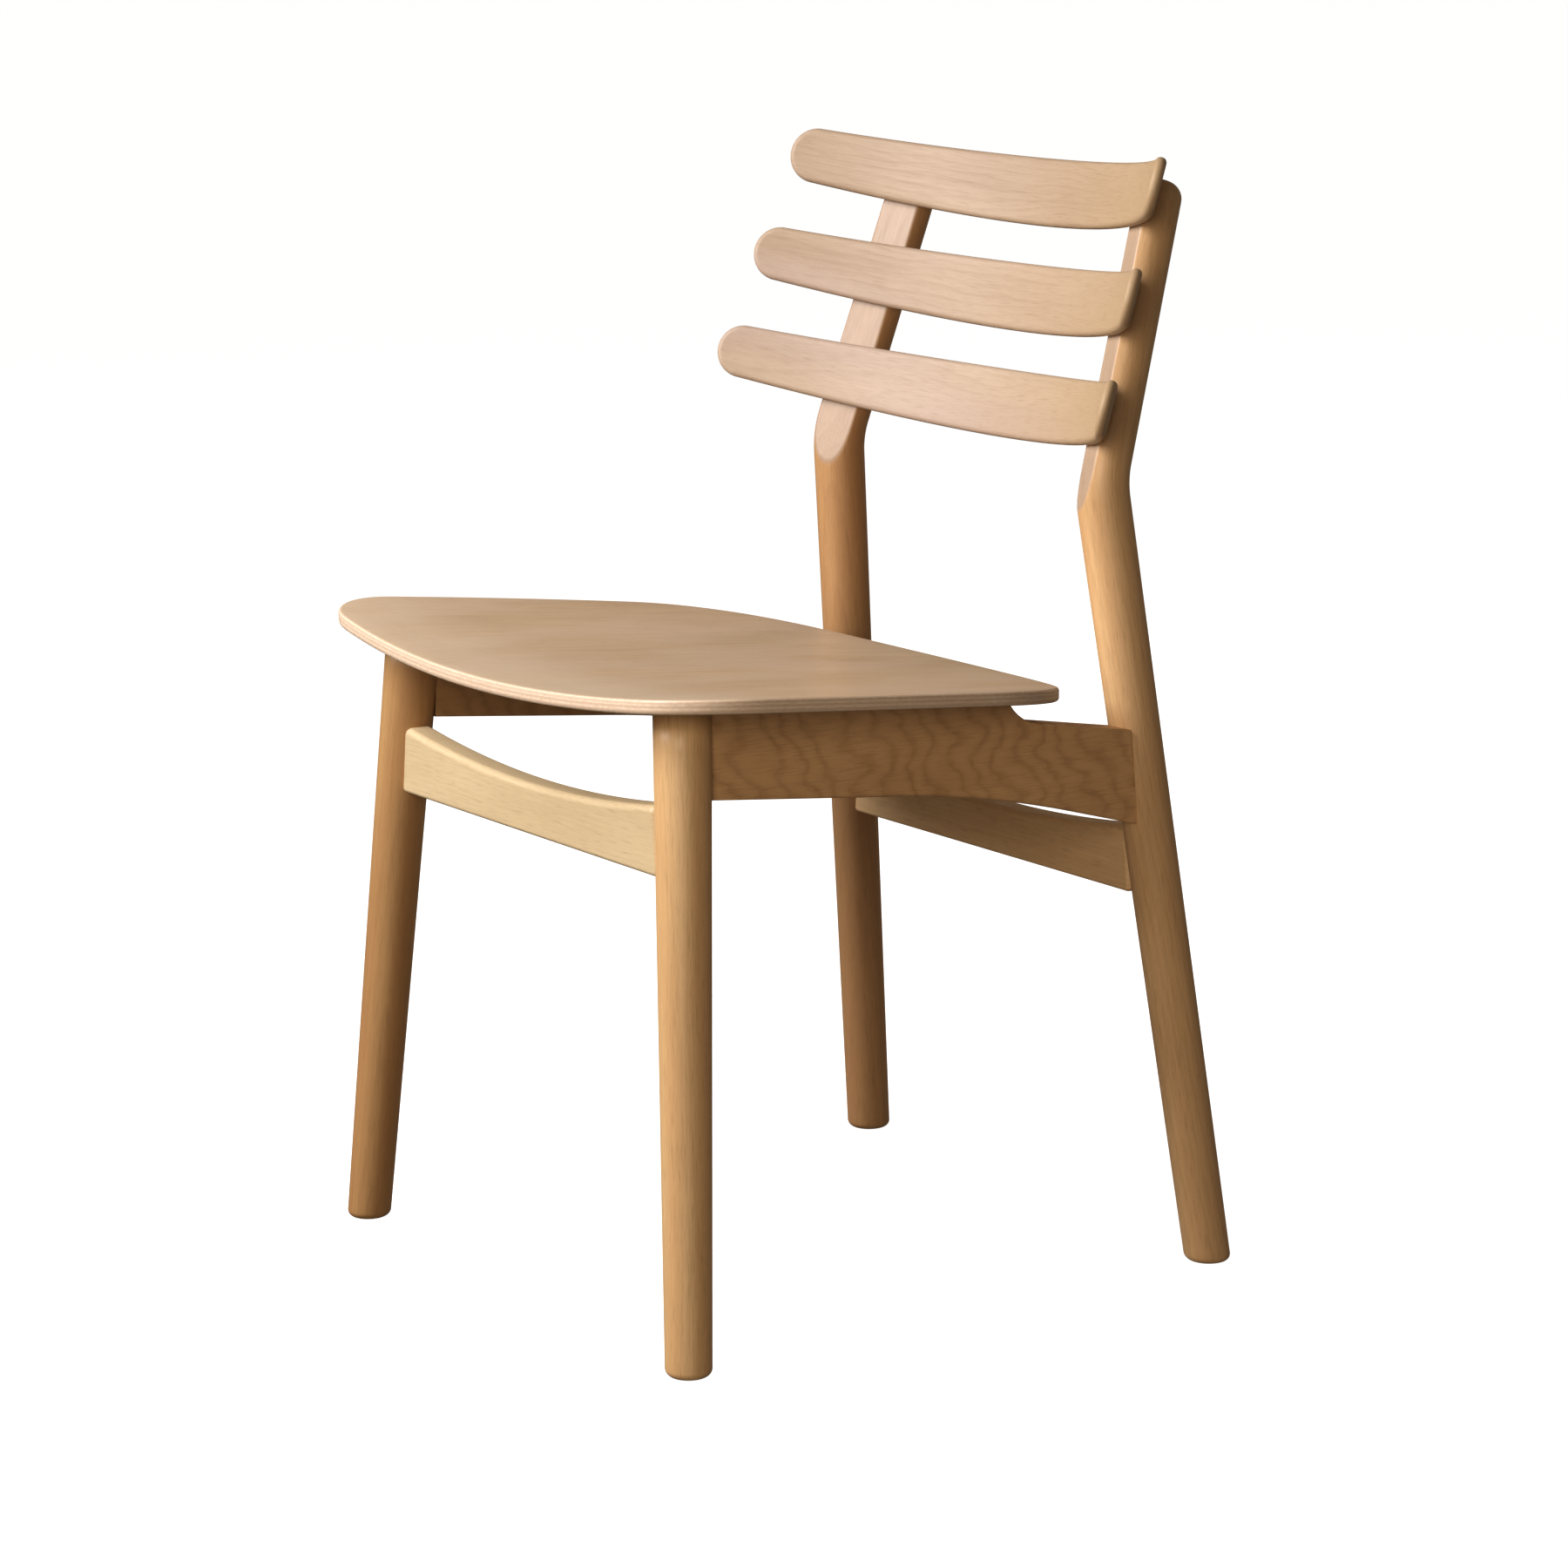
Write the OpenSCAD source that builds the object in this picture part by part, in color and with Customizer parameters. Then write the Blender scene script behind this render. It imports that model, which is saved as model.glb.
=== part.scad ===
// Dining chair: round splayed legs, a bent plywood seat and three curved back slats.
// Millimetres. The sitter faces -Y and Z is up, so the sitter's left is +X. The floor is z = 0.
// The origin lies on the floor below the middle of the chair's outline seen from above.

/* [Seat] */
// Height of the seat's top face at the middle of its front edge
seat_height = 452; // [440:1:460]
// Width across the arcs of the seat's sides, carried on to their widest place in front of it
seat_width = 519.6; // [514:0.2:525]
// Length of the seat from front to back along its middle
seat_length = 430.4; // [424:0.2:438]
// Thickness of the plywood
seat_t = 10; // [8:0.5:11]
// Fall of the seat towards the back, in degrees
seat_tilt = 4.6; // [4.3:0.1:5]
// Radius of the hollow across the seat
seat_dish_r = 1675; // [1500:25:1900]
// Overhang of the seat in front of the front foot centres
seat_overhang = 36.7; // [33:0.1:40]

/* [Front legs] */
// Distance between the front foot centres
front_foot_span = 446.6; // [440:0.2:452]
// Radius of a front leg at the floor
front_foot_r = 16.2; // [15.5:0.1:17]
// Radius of a front leg at the seat
front_top_r = 19.9; // [19.4:0.1:20.4]
// Backward lean of a front leg, in degrees
front_rake = 3; // [2.6:0.1:3.4]
// Lean of all the legs towards the middle, seen from the front, in degrees
splay = 5.27; // [5.1:0.01:5.4]

/* [Rear posts] */
// Distance between the rear foot centres
rear_foot_span = 432.4; // [428:0.2:436]
// Distance from the front foot centres back to the rear foot centres
foot_depth = 455.8; // [452:0.2:460]
// Radius of a rear post at the floor
rear_foot_r = 16.8; // [16.2:0.1:17.4]
// Radius of a rear post at its bend
bend_r = 19.4; // [19:0.1:19.8]
// Radius of a rear post at its top
post_top_r = 18.4; // [18:0.1:19]
// Forward lean of a rear post below its bend, in degrees
post_rake = 6.77; // [6.6:0.01:6.9]
// Height of the bend
bend_height = 573.4; // [570:0.2:577]
// Backward lean of the posts and slats above the bend, in degrees
back_lean = 17.1; // [16.8:0.1:17.4]
// Height of the top of a rear post
post_height = 780.4; // [778:0.1:784]
// Distance from a post's axis to the flat on its front
flat_depth = 11; // [10.5:0.1:11.5]
// Turn of that flat towards the middle, in degrees
flat_turn = 22; // [20:0.5:24]

/* [Slats] */
// Radius of a slat's bend, at the middle of its thickness
slat_bend_r = 350; // [345:1:356]
// Thickness of a slat
slat_t = 8.4; // [8:0.1:9]
// Height of a slat at its middle
slat_h = 50.6; // [49:0.2:52]
// Length of the bottom slat from its middle to its tip, along the bend
slat_reach = 267; // [262:1:272]
// How much shorter each higher slat is, on each side
slat_reach_step = 12.2; // [11:0.1:13]
// Distance from the bend to the middle of the bottom slat, along the posts
slat_first = 45.2; // [44:0.1:47]
// Distance between slat middles
slat_pitch = 79; // [77:0.5:80]
// Radius of a slat's falling top edge
slat_top_edge_r = 3650; // [3000:50:5000]
// Radius of a slat's rising bottom edge
slat_bottom_edge_r = 7400; // [6000:100:9000]
// Depth of the recess that seats a slat on a post
slat_let_in = 0.4; // [0.3:0.1:0.6]

/* [Rails] */
// Thickness of the side rails and the stretchers
rail_t = 22; // [20:0.5:23]
// Distance between the middles of the side rails
rail_span = 367.4; // [365:0.2:370]
// Height of the stretchers at their middle
stretcher_h = 36.8; // [34:0.1:38]
// Radius of a stretcher's hollow top edge
stretcher_top_r = 1175; // [1100:25:1300]
// Height of the front stretcher's bottom edge
front_stretcher_z = 333.9; // [333:0.1:338]
// Height of the rear stretcher's bottom edge
rear_stretcher_z = 272.7; // [271:0.1:276]
// Depth of the flat that a rail's end sits on in a round leg
shoulder_bite = 1.4; // [1.2:0.1:1.8]

/* [Fittings] */
// Diameter of the dowels
dowel_d = 8; // [7:0.5:9]
// Length of the dowels
dowel_length = 40; // [36:1:40]
// Diameter of the plugs over the slat screws
plug_d = 10; // [9:0.5:11]
// Diameter of the screws' shanks
screw_d = 4; // [3.5:0.1:4.5]
// Diameter of the glides
glide_d = 21; // [20:0.5:23]
// Thickness of the glides
glide_t = 2; // [2:0.1:3]

/* [Hidden] */
$fn = 96;
LEFT = 1;
RIGHT = -1;
ASH = "#d9b07c";
SLAT_WOOD = "#e3c19b";
PLY = "#cfa985";
DOWEL_WOOD = "#e6cfa3";
STEEL = "#b9bcc0";
NYLON = "#e9e7e1";
far = 800;
glue_gap = 0.05;
bore_spare = 0.5;

// Legs and posts: each stands in a plane that leans inward by the splay
front_foot = [front_foot_span / 2, 0];
rear_foot = [rear_foot_span / 2, foot_depth];
plane_rake = atan(tan(post_rake) * cos(splay));
plane_lean = atan(tan(back_lean) * cos(splay));
front_plane_rake = atan(tan(front_rake) * cos(splay));
bend_angle = plane_rake + plane_lean;
lower_length = bend_height / cos(splay) / cos(plane_rake);
upper_length = (post_height - bend_height) / cos(splay) / cos(plane_lean);
bend_y = foot_depth - tan(post_rake) * bend_height;
front_length = seat_height / cos(splay) / cos(front_plane_rake);
bend_ball_r = bend_r / cos(bend_angle / 2) + 0.1;
foot_z = 0.4;
foot_round = 5.4;
foot_spare = 0.5;
post_top_round = 12.5;
front_shoulder = 19 - shoulder_bite;
rear_shoulder = 18.3 - shoulder_bite;

// Seat outline: a front arc, two side arcs and a rear arc, joined by corner arcs
front_edge_r = 1520;
side_edge_r = 2065;
rear_edge_r = 345;
front_corner_r = 64.8;
rear_corner_r = 155.7;
widest_y = -67.6;
front_edge_c = [0, front_edge_r - seat_overhang];
side_edge_c = [seat_width / 2 - side_edge_r, widest_y];
rear_edge_c = [0, seat_length - seat_overhang - rear_edge_r];

// Slats: seen from above each is an arc whose centre lies in front of the chair
slat_inset = flat_depth / cos(flat_turn) - slat_let_in + slat_t / 2;
slat_screw_reach = 6.5;

// Side rails, seen from the side
rail_x = rail_span / 2;
rail_bottom_z = 390.8;
rail_bottom_slope = 5.7;
rail_heel_slope = 15.1;
rail_heel_y = 267;
rail_heel_r = 900;
rail_step_y = 318;
rail_step_z = 410;
rail_step_r = 37;
rail_step_slope = 9.4;
rail_front_dowels_z = [403, 428];
rail_rear_dowels_z = [350, 380];
stretcher_dowel_rise = [13, 35];

// Cleats and screws, placed from the middle of the seat's front edge
cleat_w = 20;
cleat_drop = 24;
cleat_start = 92;
cleat_length = 200;
cleat_x = rail_x - rail_t / 2 - cleat_w / 2;
cleat_screw_y = [115, 192, 269];
seat_screw_y = [134, 211, 250];
seat_screw_length = 29;
cleat_screw_length = 32;
screw_head_d = 8;
screw_head_h = 2.6;
slat_screw_head_h = 3;
slat_screw_seat = 8;
nail_d = 2.4;
nail_length = 18;
nail_head_d = 6;
nail_head_h = 1;
nail_recess = 0.5;

// Half the depth of the outline: from the seat's front edge to the back of the top slat
top_slat = 2;
outline_back = bend_y + sin(back_lean) * (slat_z(top_slat) + slat_h / 2)
    + cos(back_lean) * (slat_t / 2 - slat_front(top_slat));
mid_y = (outline_back - seat_overhang) / 2;

// Distance of slat i's middle from the bend, up the back
function slat_z(i) = slat_first + slat_pitch * i;
// Distance of a post's axis from the middle of the chair at slat i
function post_x(i) = rear_foot[0] - tan(splay) * (bend_height + cos(back_lean) * slat_z(i));
// Distance of slat i's middle in front of the plane of the post axes
function slat_front(i) = slat_inset - slat_bend_r * (1 - cos(asin(post_x(i) / slat_bend_r)));
// Distance up a post's upper axis to slat i
function slat_axis_z(i) = slat_z(i) * cos(back_lean) / cos(splay) / cos(plane_lean);
// Point on a leg's axis at height z, with lean towards the back
function axis_at(foot, lean, z) = [foot[0] - tan(splay) * z, foot[1] + tan(lean) * z, z];
// Direction from point c to point p, in degrees
function bearing(c, p) = atan2(p[1] - c[1], p[0] - c[0]);
// Points along an arc
function arc(c, r, a0, a1, n) = [for (i = [0:n]) let (a = a0 + (a1 - a0) * i / n) c + r * [cos(a), sin(a)]];
// Where two circles cross; side 1 or -1 picks the crossing
function crossing(c1, r1, c2, r2, side) =
    let (gap = c2 - c1, d = norm(gap), u = gap / d, along = (r1 * r1 - r2 * r2 + d * d) / (2 * d))
    c1 + along * u + side * sqrt(r1 * r1 - along * along) * [-u[1], u[0]];

// Right-hand half of the seat outline, from the middle of the front to the middle of the back
function half_outline() =
    let (
        front_c = crossing(front_edge_c, front_edge_r - front_corner_r,
            side_edge_c, side_edge_r - front_corner_r, 1),
        rear_c = crossing(rear_edge_c, rear_edge_r - rear_corner_r,
            side_edge_c, side_edge_r - rear_corner_r, -1),
        a1 = bearing(front_edge_c, front_c),
        a2 = bearing(side_edge_c, front_c),
        a3 = bearing(side_edge_c, rear_c),
        a4 = bearing(rear_edge_c, rear_c))
    concat(
        arc(front_edge_c, front_edge_r, -90, a1, 8),
        arc(front_c, front_corner_r, a1, a2, 18),
        arc(side_edge_c, side_edge_r, a2, a3, 10),
        arc(rear_c, rear_corner_r, a3, a4, 24),
        arc(rear_edge_c, rear_edge_r, a4, 90, 10));

// Whole seat outline, without the joints' doubled points
function seat_outline() =
    let (
        half = half_outline(),
        clean = [for (i = [0:len(half) - 1]) if (i == 0 || norm(half[i] - half[i - 1]) > 0.01) half[i]],
        last = len(clean) - 1)
    concat(clean, [for (i = [last - 1:-1:1]) [-clean[i][0], clean[i][1]]]);

// Moves the working frame, whose y = 0 runs through the front foot centres, to the origin
module placed() translate([0, -mid_y, 0]) children();

// Draws its children on one side of the chair; the shapes are written for the left side
module on_side(side)
    if (side == LEFT) children();
    else mirror([1, 0, 0]) children();

// Frame of a leg: z runs up its axis from the foot
module leg_axis(foot, lean)
    translate([foot[0], foot[1], 0])
        rotate([0, -splay, 0])
            rotate([-lean, 0, 0]) children();

// Frame of a post above its bend: z runs up the upper axis from the bend
module upper_axis()
    leg_axis(rear_foot, -plane_rake)
        translate([0, 0, lower_length])
            rotate([-bend_angle, 0, 0]) children();

// Frame of the back: z runs up the back from the bend's height, y points to the rear
module back_frame()
    translate([0, bend_y, bend_height])
        rotate([-back_lean, 0, 0]) children();

// Frame of the seat: z is square to its top face at the front edge, y runs along its fall
module seat_frame()
    translate([0, -seat_overhang, seat_height])
        rotate([-seat_tilt, 0, 0]) children();

// Everything above a face that lies below the seat's top by the given depth
module above_seat(depth)
    seat_frame()
        translate([0, -seat_overhang * 2, seat_dish_r])
            rotate([-90, 0, 0])
                cylinder(r = seat_dish_r + depth, h = seat_length + seat_overhang * 4, $fn = 256);

// Trims a leg's foot level and rounds its edge
module foot_trim(foot, r)
    translate([foot[0], foot[1], 0]) {
        rotate_extrude()
            polygon(concat(
                [[0, foot_z + foot_round], [0, foot_z]],
                arc([r + foot_spare - foot_round, foot_z + foot_round], foot_round, -90, 0, 12)));
        translate([-far / 2, -far / 2, foot_z + foot_round])
            cube([far, far, far * 1.5]);
    }

// Recess for a glide and pilot hole for its nail
module glide_bore(foot)
    translate([foot[0], foot[1], -1]) {
        cylinder(d = glide_d + 2 * glue_gap, h = glide_t + 1);
        cylinder(d = nail_d + 2 * glue_gap, h = nail_length + bore_spare + 1);
    }

// A dowel along z, centred, with chamfered ends
module dowel() {
    r = dowel_d / 2 - glue_gap;
    chamfer = 1;
    rotate_extrude()
        polygon([[0, -dowel_length / 2], [r - chamfer, -dowel_length / 2], [r, chamfer - dowel_length / 2],
            [r, dowel_length / 2 - chamfer], [r - chamfer, dowel_length / 2], [0, dowel_length / 2]]);
}

// The hole for a dowel along z, centred
module dowel_bore() cylinder(d = dowel_d, h = dowel_length + 2 * bore_spare, center = true);

// Where a stretcher's dowels go: along X, half in the leg and half in the stretcher
module at_stretcher_dowels(foot, lean, z, shoulder)
    for (rise = stretcher_dowel_rise)
        translate(axis_at(foot, lean, z + rise) - [shoulder, 0, 0])
            rotate([0, 90, 0]) children();

// Where a side rail's dowels go: along Y, half in the leg and half in the rail
module at_rail_dowels(foot, lean, heights, shoulder)
    for (z = heights)
        translate([rail_x, axis_at(foot, lean, z)[1] + shoulder, z])
            rotate([90, 0, 0]) children();

module at_front_stretcher_dowels()
    at_stretcher_dowels(front_foot, front_rake, front_stretcher_z, front_shoulder) children();

module at_rear_stretcher_dowels()
    at_stretcher_dowels(rear_foot, -post_rake, rear_stretcher_z, rear_shoulder) children();

module at_front_rail_dowels()
    at_rail_dowels(front_foot, front_rake, rail_front_dowels_z, front_shoulder) children();

module at_rear_rail_dowels()
    at_rail_dowels(rear_foot, -post_rake, rail_rear_dowels_z, -rear_shoulder) children();

// A stretcher without its dowel holes: straight below, hollow above, shouldered on both legs
module stretcher_solid(foot, lean, z, shoulder) {
    mid = axis_at(foot, lean, z + stretcher_h / 2)[1];
    difference() {
        translate([-foot[0], mid - rail_t / 2, z])
            cube([2 * foot[0], rail_t, 2 * stretcher_h]);
        translate([0, mid, z + stretcher_h + stretcher_top_r])
            rotate([90, 0, 0]) cylinder(r = stretcher_top_r, h = 2 * rail_t, center = true, $fn = 256);
        for (side = [LEFT, RIGHT])
            on_side(side)
                leg_axis(foot, lean)
                    translate([-shoulder, -rail_t, 0]) cube([2 * foot[0], 2 * rail_t, far]);
    }
}

module front_stretcher_solid()
    stretcher_solid(front_foot, front_plane_rake, front_stretcher_z, front_shoulder);

module rear_stretcher_solid()
    stretcher_solid(rear_foot, -plane_rake, rear_stretcher_z, rear_shoulder);

// Side view of a rail, as points (y, z); its top is trimmed by the seat later
function rail_outline() =
    let (
        run = rail_heel_r * tan((rail_heel_slope - rail_bottom_slope) / 2),
        heel = [rail_heel_y, rail_bottom_z - tan(rail_bottom_slope) * rail_heel_y],
        turn_start = heel - run * [cos(rail_bottom_slope), -sin(rail_bottom_slope)],
        turn_c = turn_start - rail_heel_r * [sin(rail_bottom_slope), cos(rail_bottom_slope)],
        end_y = foot_depth,
        step_c = [rail_step_y, rail_step_z + rail_step_r])
    concat(
        [[0, seat_height + seat_t], [0, rail_bottom_z]],
        arc(turn_c, rail_heel_r, 90 - rail_bottom_slope, 90 - rail_heel_slope, 12),
        [[end_y, heel[1] - tan(rail_heel_slope) * (end_y - rail_heel_y)],
            [end_y, rail_step_z - tan(rail_step_slope) * (end_y - rail_step_y)]],
        arc(step_c, rail_step_r, -90 - rail_step_slope / 2, -178, 12),
        [[rail_step_y - rail_step_r, seat_height + seat_t]]);

// A left side rail without its holes
module side_rail_solid()
    difference() {
        translate([rail_x, 0, 0])
            rotate([90, 0, 90])
                linear_extrude(rail_t, center = true) polygon(rail_outline());
        above_seat(seat_t);
        leg_axis(front_foot, front_plane_rake)
            translate([-2 * rail_t, -far / 2 + front_shoulder, 0]) cube([4 * rail_t, far / 2, far]);
        leg_axis(rear_foot, -plane_rake)
            translate([-2 * rail_t, -rear_shoulder, 0]) cube([4 * rail_t, far / 2, far]);
    }

// Where the slats' screws go, on one side: z runs out of the post's back, from its axis
module at_slat_screws(slats = [0:2])
    upper_axis()
        for (i = slats)
            translate([0, 0, slat_axis_z(i)])
                rotate([0, 0, -flat_turn]) rotate([-90, 0, 0]) children();

// Where the cleats' screws go, on one side: z runs outward from the cleat's inner face
module at_cleat_screws()
    seat_frame()
        for (y = cleat_screw_y)
            translate([cleat_x - cleat_w / 2, y, -cleat_drop / 2])
                rotate([0, 90, 0]) children();

// Where the seat's screws go, on one side: z runs up from the cleat's underside
module at_seat_screws()
    seat_frame()
        for (y = seat_screw_y)
            translate([cleat_x, y, -cleat_drop]) children();

// A countersunk wood screw along z, with its head's face at z = 0 and a cross recess
module wood_screw(length) {
    tip = 4;
    difference() {
        rotate_extrude()
            polygon([[0, 0], [screw_head_d / 2, 0], [screw_d / 2, screw_head_h],
                [screw_d / 2, length - tip], [0, length]]);
        cross_recess();
    }
}

// A cross-shaped recess at z = 0
module cross_recess() {
    blade = [4.2, 0.9];
    depth = 1.6;
    for (turn = [0, 90])
        rotate([0, 0, turn])
            translate([-blade[0] / 2, -blade[1] / 2, -1]) cube([blade[0], blade[1], depth + 1]);
}

// The hole for a wood screw along z
module wood_screw_bore(length) {
    gap = glue_gap;
    rotate_extrude()
        polygon([[0, -1], [screw_head_d / 2 + gap, -1], [screw_head_d / 2 + gap, 0],
            [screw_d / 2 + gap, screw_head_h], [screw_d / 2 + gap, length + bore_spare],
            [0, length + bore_spare]]);
}

// A slat's screw: it sits on the step in the post's back, z runs out of the back
module slat_screw() {
    tip = 4;
    end = flat_depth + slat_screw_reach;
    difference() {
        rotate_extrude()
            polygon([[0, -end], [screw_d / 2, tip - end], [screw_d / 2, slat_screw_seat],
                [screw_head_d / 2, slat_screw_seat],
                [screw_head_d / 2, slat_screw_seat + slat_screw_head_h - 1],
                [screw_head_d / 2 - 1, slat_screw_seat + slat_screw_head_h],
                [0, slat_screw_seat + slat_screw_head_h]]);
        translate([0, 0, slat_screw_seat + slat_screw_head_h])
            mirror([0, 0, 1]) cross_recess();
    }
}

// The stepped hole for a slat's screw and its plug
module slat_screw_bore() {
    end = flat_depth + slat_screw_reach + bore_spare;
    translate([0, 0, -end])
        cylinder(d = screw_d + 2 * glue_gap, h = end + slat_screw_seat + 1);
    translate([0, 0, slat_screw_seat])
        cylinder(d = plug_d, h = 2 * bend_r);
}

// A rear post's round stock above the bend, with its rounded top
module upper_stock()
    upper_axis()
        rotate_extrude()
            polygon(concat(
                [[0, 0], [bend_r, 0]],
                arc([post_top_r - post_top_round, upper_length - post_top_round], post_top_round, 0, 90, 12),
                [[0, upper_length]]));

// A rear post's round stock: lower cone, round bend and upper cone
module post_stock() {
    leg_axis(rear_foot, -plane_rake) {
        cylinder(r1 = rear_foot_r, r2 = bend_r, h = lower_length);
        translate([0, 0, lower_length]) sphere(r = bend_ball_r);
    }
    upper_stock();
}

// The space in front of the flat on a post's upper part
module flat_cut()
    upper_axis()
        rotate([0, 0, -flat_turn])
            translate([-2 * bend_r, -flat_depth - 2 * bend_r, -4 * bend_r])
                cube([4 * bend_r, 2 * bend_r, upper_length + 8 * bend_r]);

// The recess that a post cuts in the back of a slat
module slat_seat_cut()
    upper_axis()
        rotate([0, 0, -flat_turn])
            translate([-bend_r, -flat_depth, 0])
                cube([2 * bend_r, 2 * bend_r, upper_length + 2 * bend_r]);

module front_leg(side)
    color(ASH) placed() on_side(side)
        difference() {
            intersection() {
                leg_axis(front_foot, front_plane_rake)
                    cylinder(r1 = front_foot_r, r2 = front_top_r, h = front_length);
                foot_trim(front_foot, front_foot_r);
            }
            above_seat(seat_t);
            front_stretcher_solid();
            side_rail_solid();
            at_front_stretcher_dowels() dowel_bore();
            at_front_rail_dowels() dowel_bore();
            glide_bore(front_foot);
        }

module rear_post(side)
    color(ASH) placed() on_side(side)
        difference() {
            intersection() {
                post_stock();
                foot_trim(rear_foot, rear_foot_r);
            }
            flat_cut();
            rear_stretcher_solid();
            side_rail_solid();
            at_rear_stretcher_dowels() dowel_bore();
            at_rear_rail_dowels() dowel_bore();
            at_slat_screws() slat_screw_bore();
            glide_bore(rear_foot);
        }

module side_rail(side)
    color(ASH) placed() on_side(side)
        difference() {
            side_rail_solid();
            at_front_rail_dowels() dowel_bore();
            at_rear_rail_dowels() dowel_bore();
            at_cleat_screws() wood_screw_bore(cleat_screw_length);
        }

module front_stretcher()
    color(ASH) placed()
        difference() {
            front_stretcher_solid();
            for (side = [LEFT, RIGHT])
                on_side(side) at_front_stretcher_dowels() dowel_bore();
        }

module rear_stretcher()
    color(ASH) placed()
        difference() {
            rear_stretcher_solid();
            for (side = [LEFT, RIGHT])
                on_side(side) at_rear_stretcher_dowels() dowel_bore();
        }

module seat_shell()
    color(PLY) placed()
        difference() {
            intersection() {
                linear_extrude(seat_height + far) polygon(seat_outline());
                difference() {
                    above_seat(seat_t);
                    above_seat(0);
                }
            }
            for (side = [LEFT, RIGHT])
                on_side(side) at_seat_screws() wood_screw_bore(seat_screw_length);
        }

// Front view of a slat between its round ends: it is tallest in the middle
function slat_outline(cap_x) =
    let (
        top = asin(cap_x / slat_top_edge_r),
        bottom = asin(cap_x / slat_bottom_edge_r))
    concat(
        arc([0, slat_h / 2 - slat_top_edge_r], slat_top_edge_r, 90 - top, 90 + top, 16),
        arc([0, slat_bottom_edge_r - slat_h / 2], slat_bottom_edge_r, -90 - bottom, bottom - 90, 16));

// Slat i, counted from the bottom
module slat(i) {
    reach = slat_reach - slat_reach_step * i;
    cap_x = slat_bend_r * sin((reach - slat_h / 2.4) / slat_bend_r * 180 / PI);
    cap_turn = asin(cap_x / slat_bend_r);
    rise = slat_h / 2 - cap_x * cap_x / (2 * slat_top_edge_r);
    drop = slat_h / 2 - cap_x * cap_x / (2 * slat_bottom_edge_r);
    color(SLAT_WOOD) placed()
        difference() {
            back_frame()
                translate([0, -slat_front(i) - slat_bend_r, slat_z(i)])
                    intersection() {
                        difference() {
                            cylinder(r = slat_bend_r + slat_t / 2, h = 2 * slat_h, center = true, $fn = 256);
                            cylinder(r = slat_bend_r - slat_t / 2, h = 3 * slat_h, center = true, $fn = 256);
                        }
                        union() {
                            translate([0, 2 * slat_bend_r, 0])
                                rotate([90, 0, 0])
                                    linear_extrude(2 * slat_bend_r) polygon(slat_outline(cap_x));
                            for (side = [LEFT, RIGHT])
                                rotate([0, 0, -side * cap_turn])
                                    translate([0, slat_bend_r - slat_t, (rise - drop) / 2])
                                        rotate([-90, 0, 0])
                                            cylinder(r = (rise + drop) / 2, h = 2 * slat_t);
                        }
                    }
            for (side = [LEFT, RIGHT])
                on_side(side) {
                    slat_seat_cut();
                    at_slat_screws([i]) slat_screw_bore();
                }
        }
}

module seat_cleat(side)
    color(ASH) placed() on_side(side)
        difference() {
            seat_frame()
                translate([cleat_x - cleat_w / 2, cleat_start, -cleat_drop])
                    cube([cleat_w, cleat_length, 2 * cleat_drop]);
            above_seat(seat_t);
            at_cleat_screws() wood_screw_bore(cleat_screw_length);
            at_seat_screws() wood_screw_bore(seat_screw_length);
        }

module stretcher_dowels()
    color(DOWEL_WOOD) placed()
        for (side = [LEFT, RIGHT])
            on_side(side) {
                at_front_stretcher_dowels() dowel();
                at_rear_stretcher_dowels() dowel();
            }

module rail_dowels()
    color(DOWEL_WOOD) placed()
        for (side = [LEFT, RIGHT])
            on_side(side) {
                at_front_rail_dowels() dowel();
                at_rear_rail_dowels() dowel();
            }

module slat_screws()
    color(STEEL) placed()
        for (side = [LEFT, RIGHT])
            on_side(side) at_slat_screws() slat_screw();

// Plugs stop at the post's round back
module slat_screw_plugs() {
    start = slat_screw_seat + slat_screw_head_h;
    color(DOWEL_WOOD) placed()
        for (side = [LEFT, RIGHT])
            on_side(side)
                intersection() {
                    at_slat_screws()
                        translate([0, 0, start])
                            cylinder(d = plug_d - 2 * glue_gap, h = 2 * bend_r);
                    upper_stock();
                }
}

module cleat_screws()
    color(STEEL) placed()
        for (side = [LEFT, RIGHT])
            on_side(side) at_cleat_screws() wood_screw(cleat_screw_length);

module seat_screws()
    color(STEEL) placed()
        for (side = [LEFT, RIGHT])
            on_side(side) at_seat_screws() wood_screw(seat_screw_length);

// Draws its children at the middle of each foot, on the floor
module at_feet()
    placed()
        for (side = [LEFT, RIGHT])
            on_side(side)
                for (foot = [front_foot, rear_foot])
                    translate([foot[0], foot[1], 0]) children();

module foot_glides() {
    r = glide_d / 2;
    ease = 0.6;
    head_r = nail_head_d / 2 + glue_gap;
    shank_r = nail_d / 2 + glue_gap;
    color(NYLON) at_feet()
        rotate_extrude()
            polygon([[head_r, 0], [r - ease, 0], [r, ease], [r, glide_t],
                [shank_r, glide_t], [shank_r, nail_recess + nail_head_h], [head_r, nail_recess + nail_head_h]]);
}

module glide_nails() {
    tip = 3;
    color(STEEL) at_feet()
        rotate_extrude()
            polygon([[0, nail_recess], [nail_head_d / 2, nail_recess],
                [nail_head_d / 2, nail_recess + nail_head_h], [nail_d / 2, nail_recess + nail_head_h],
                [nail_d / 2, nail_length - tip], [0, nail_length]]);
}

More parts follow.
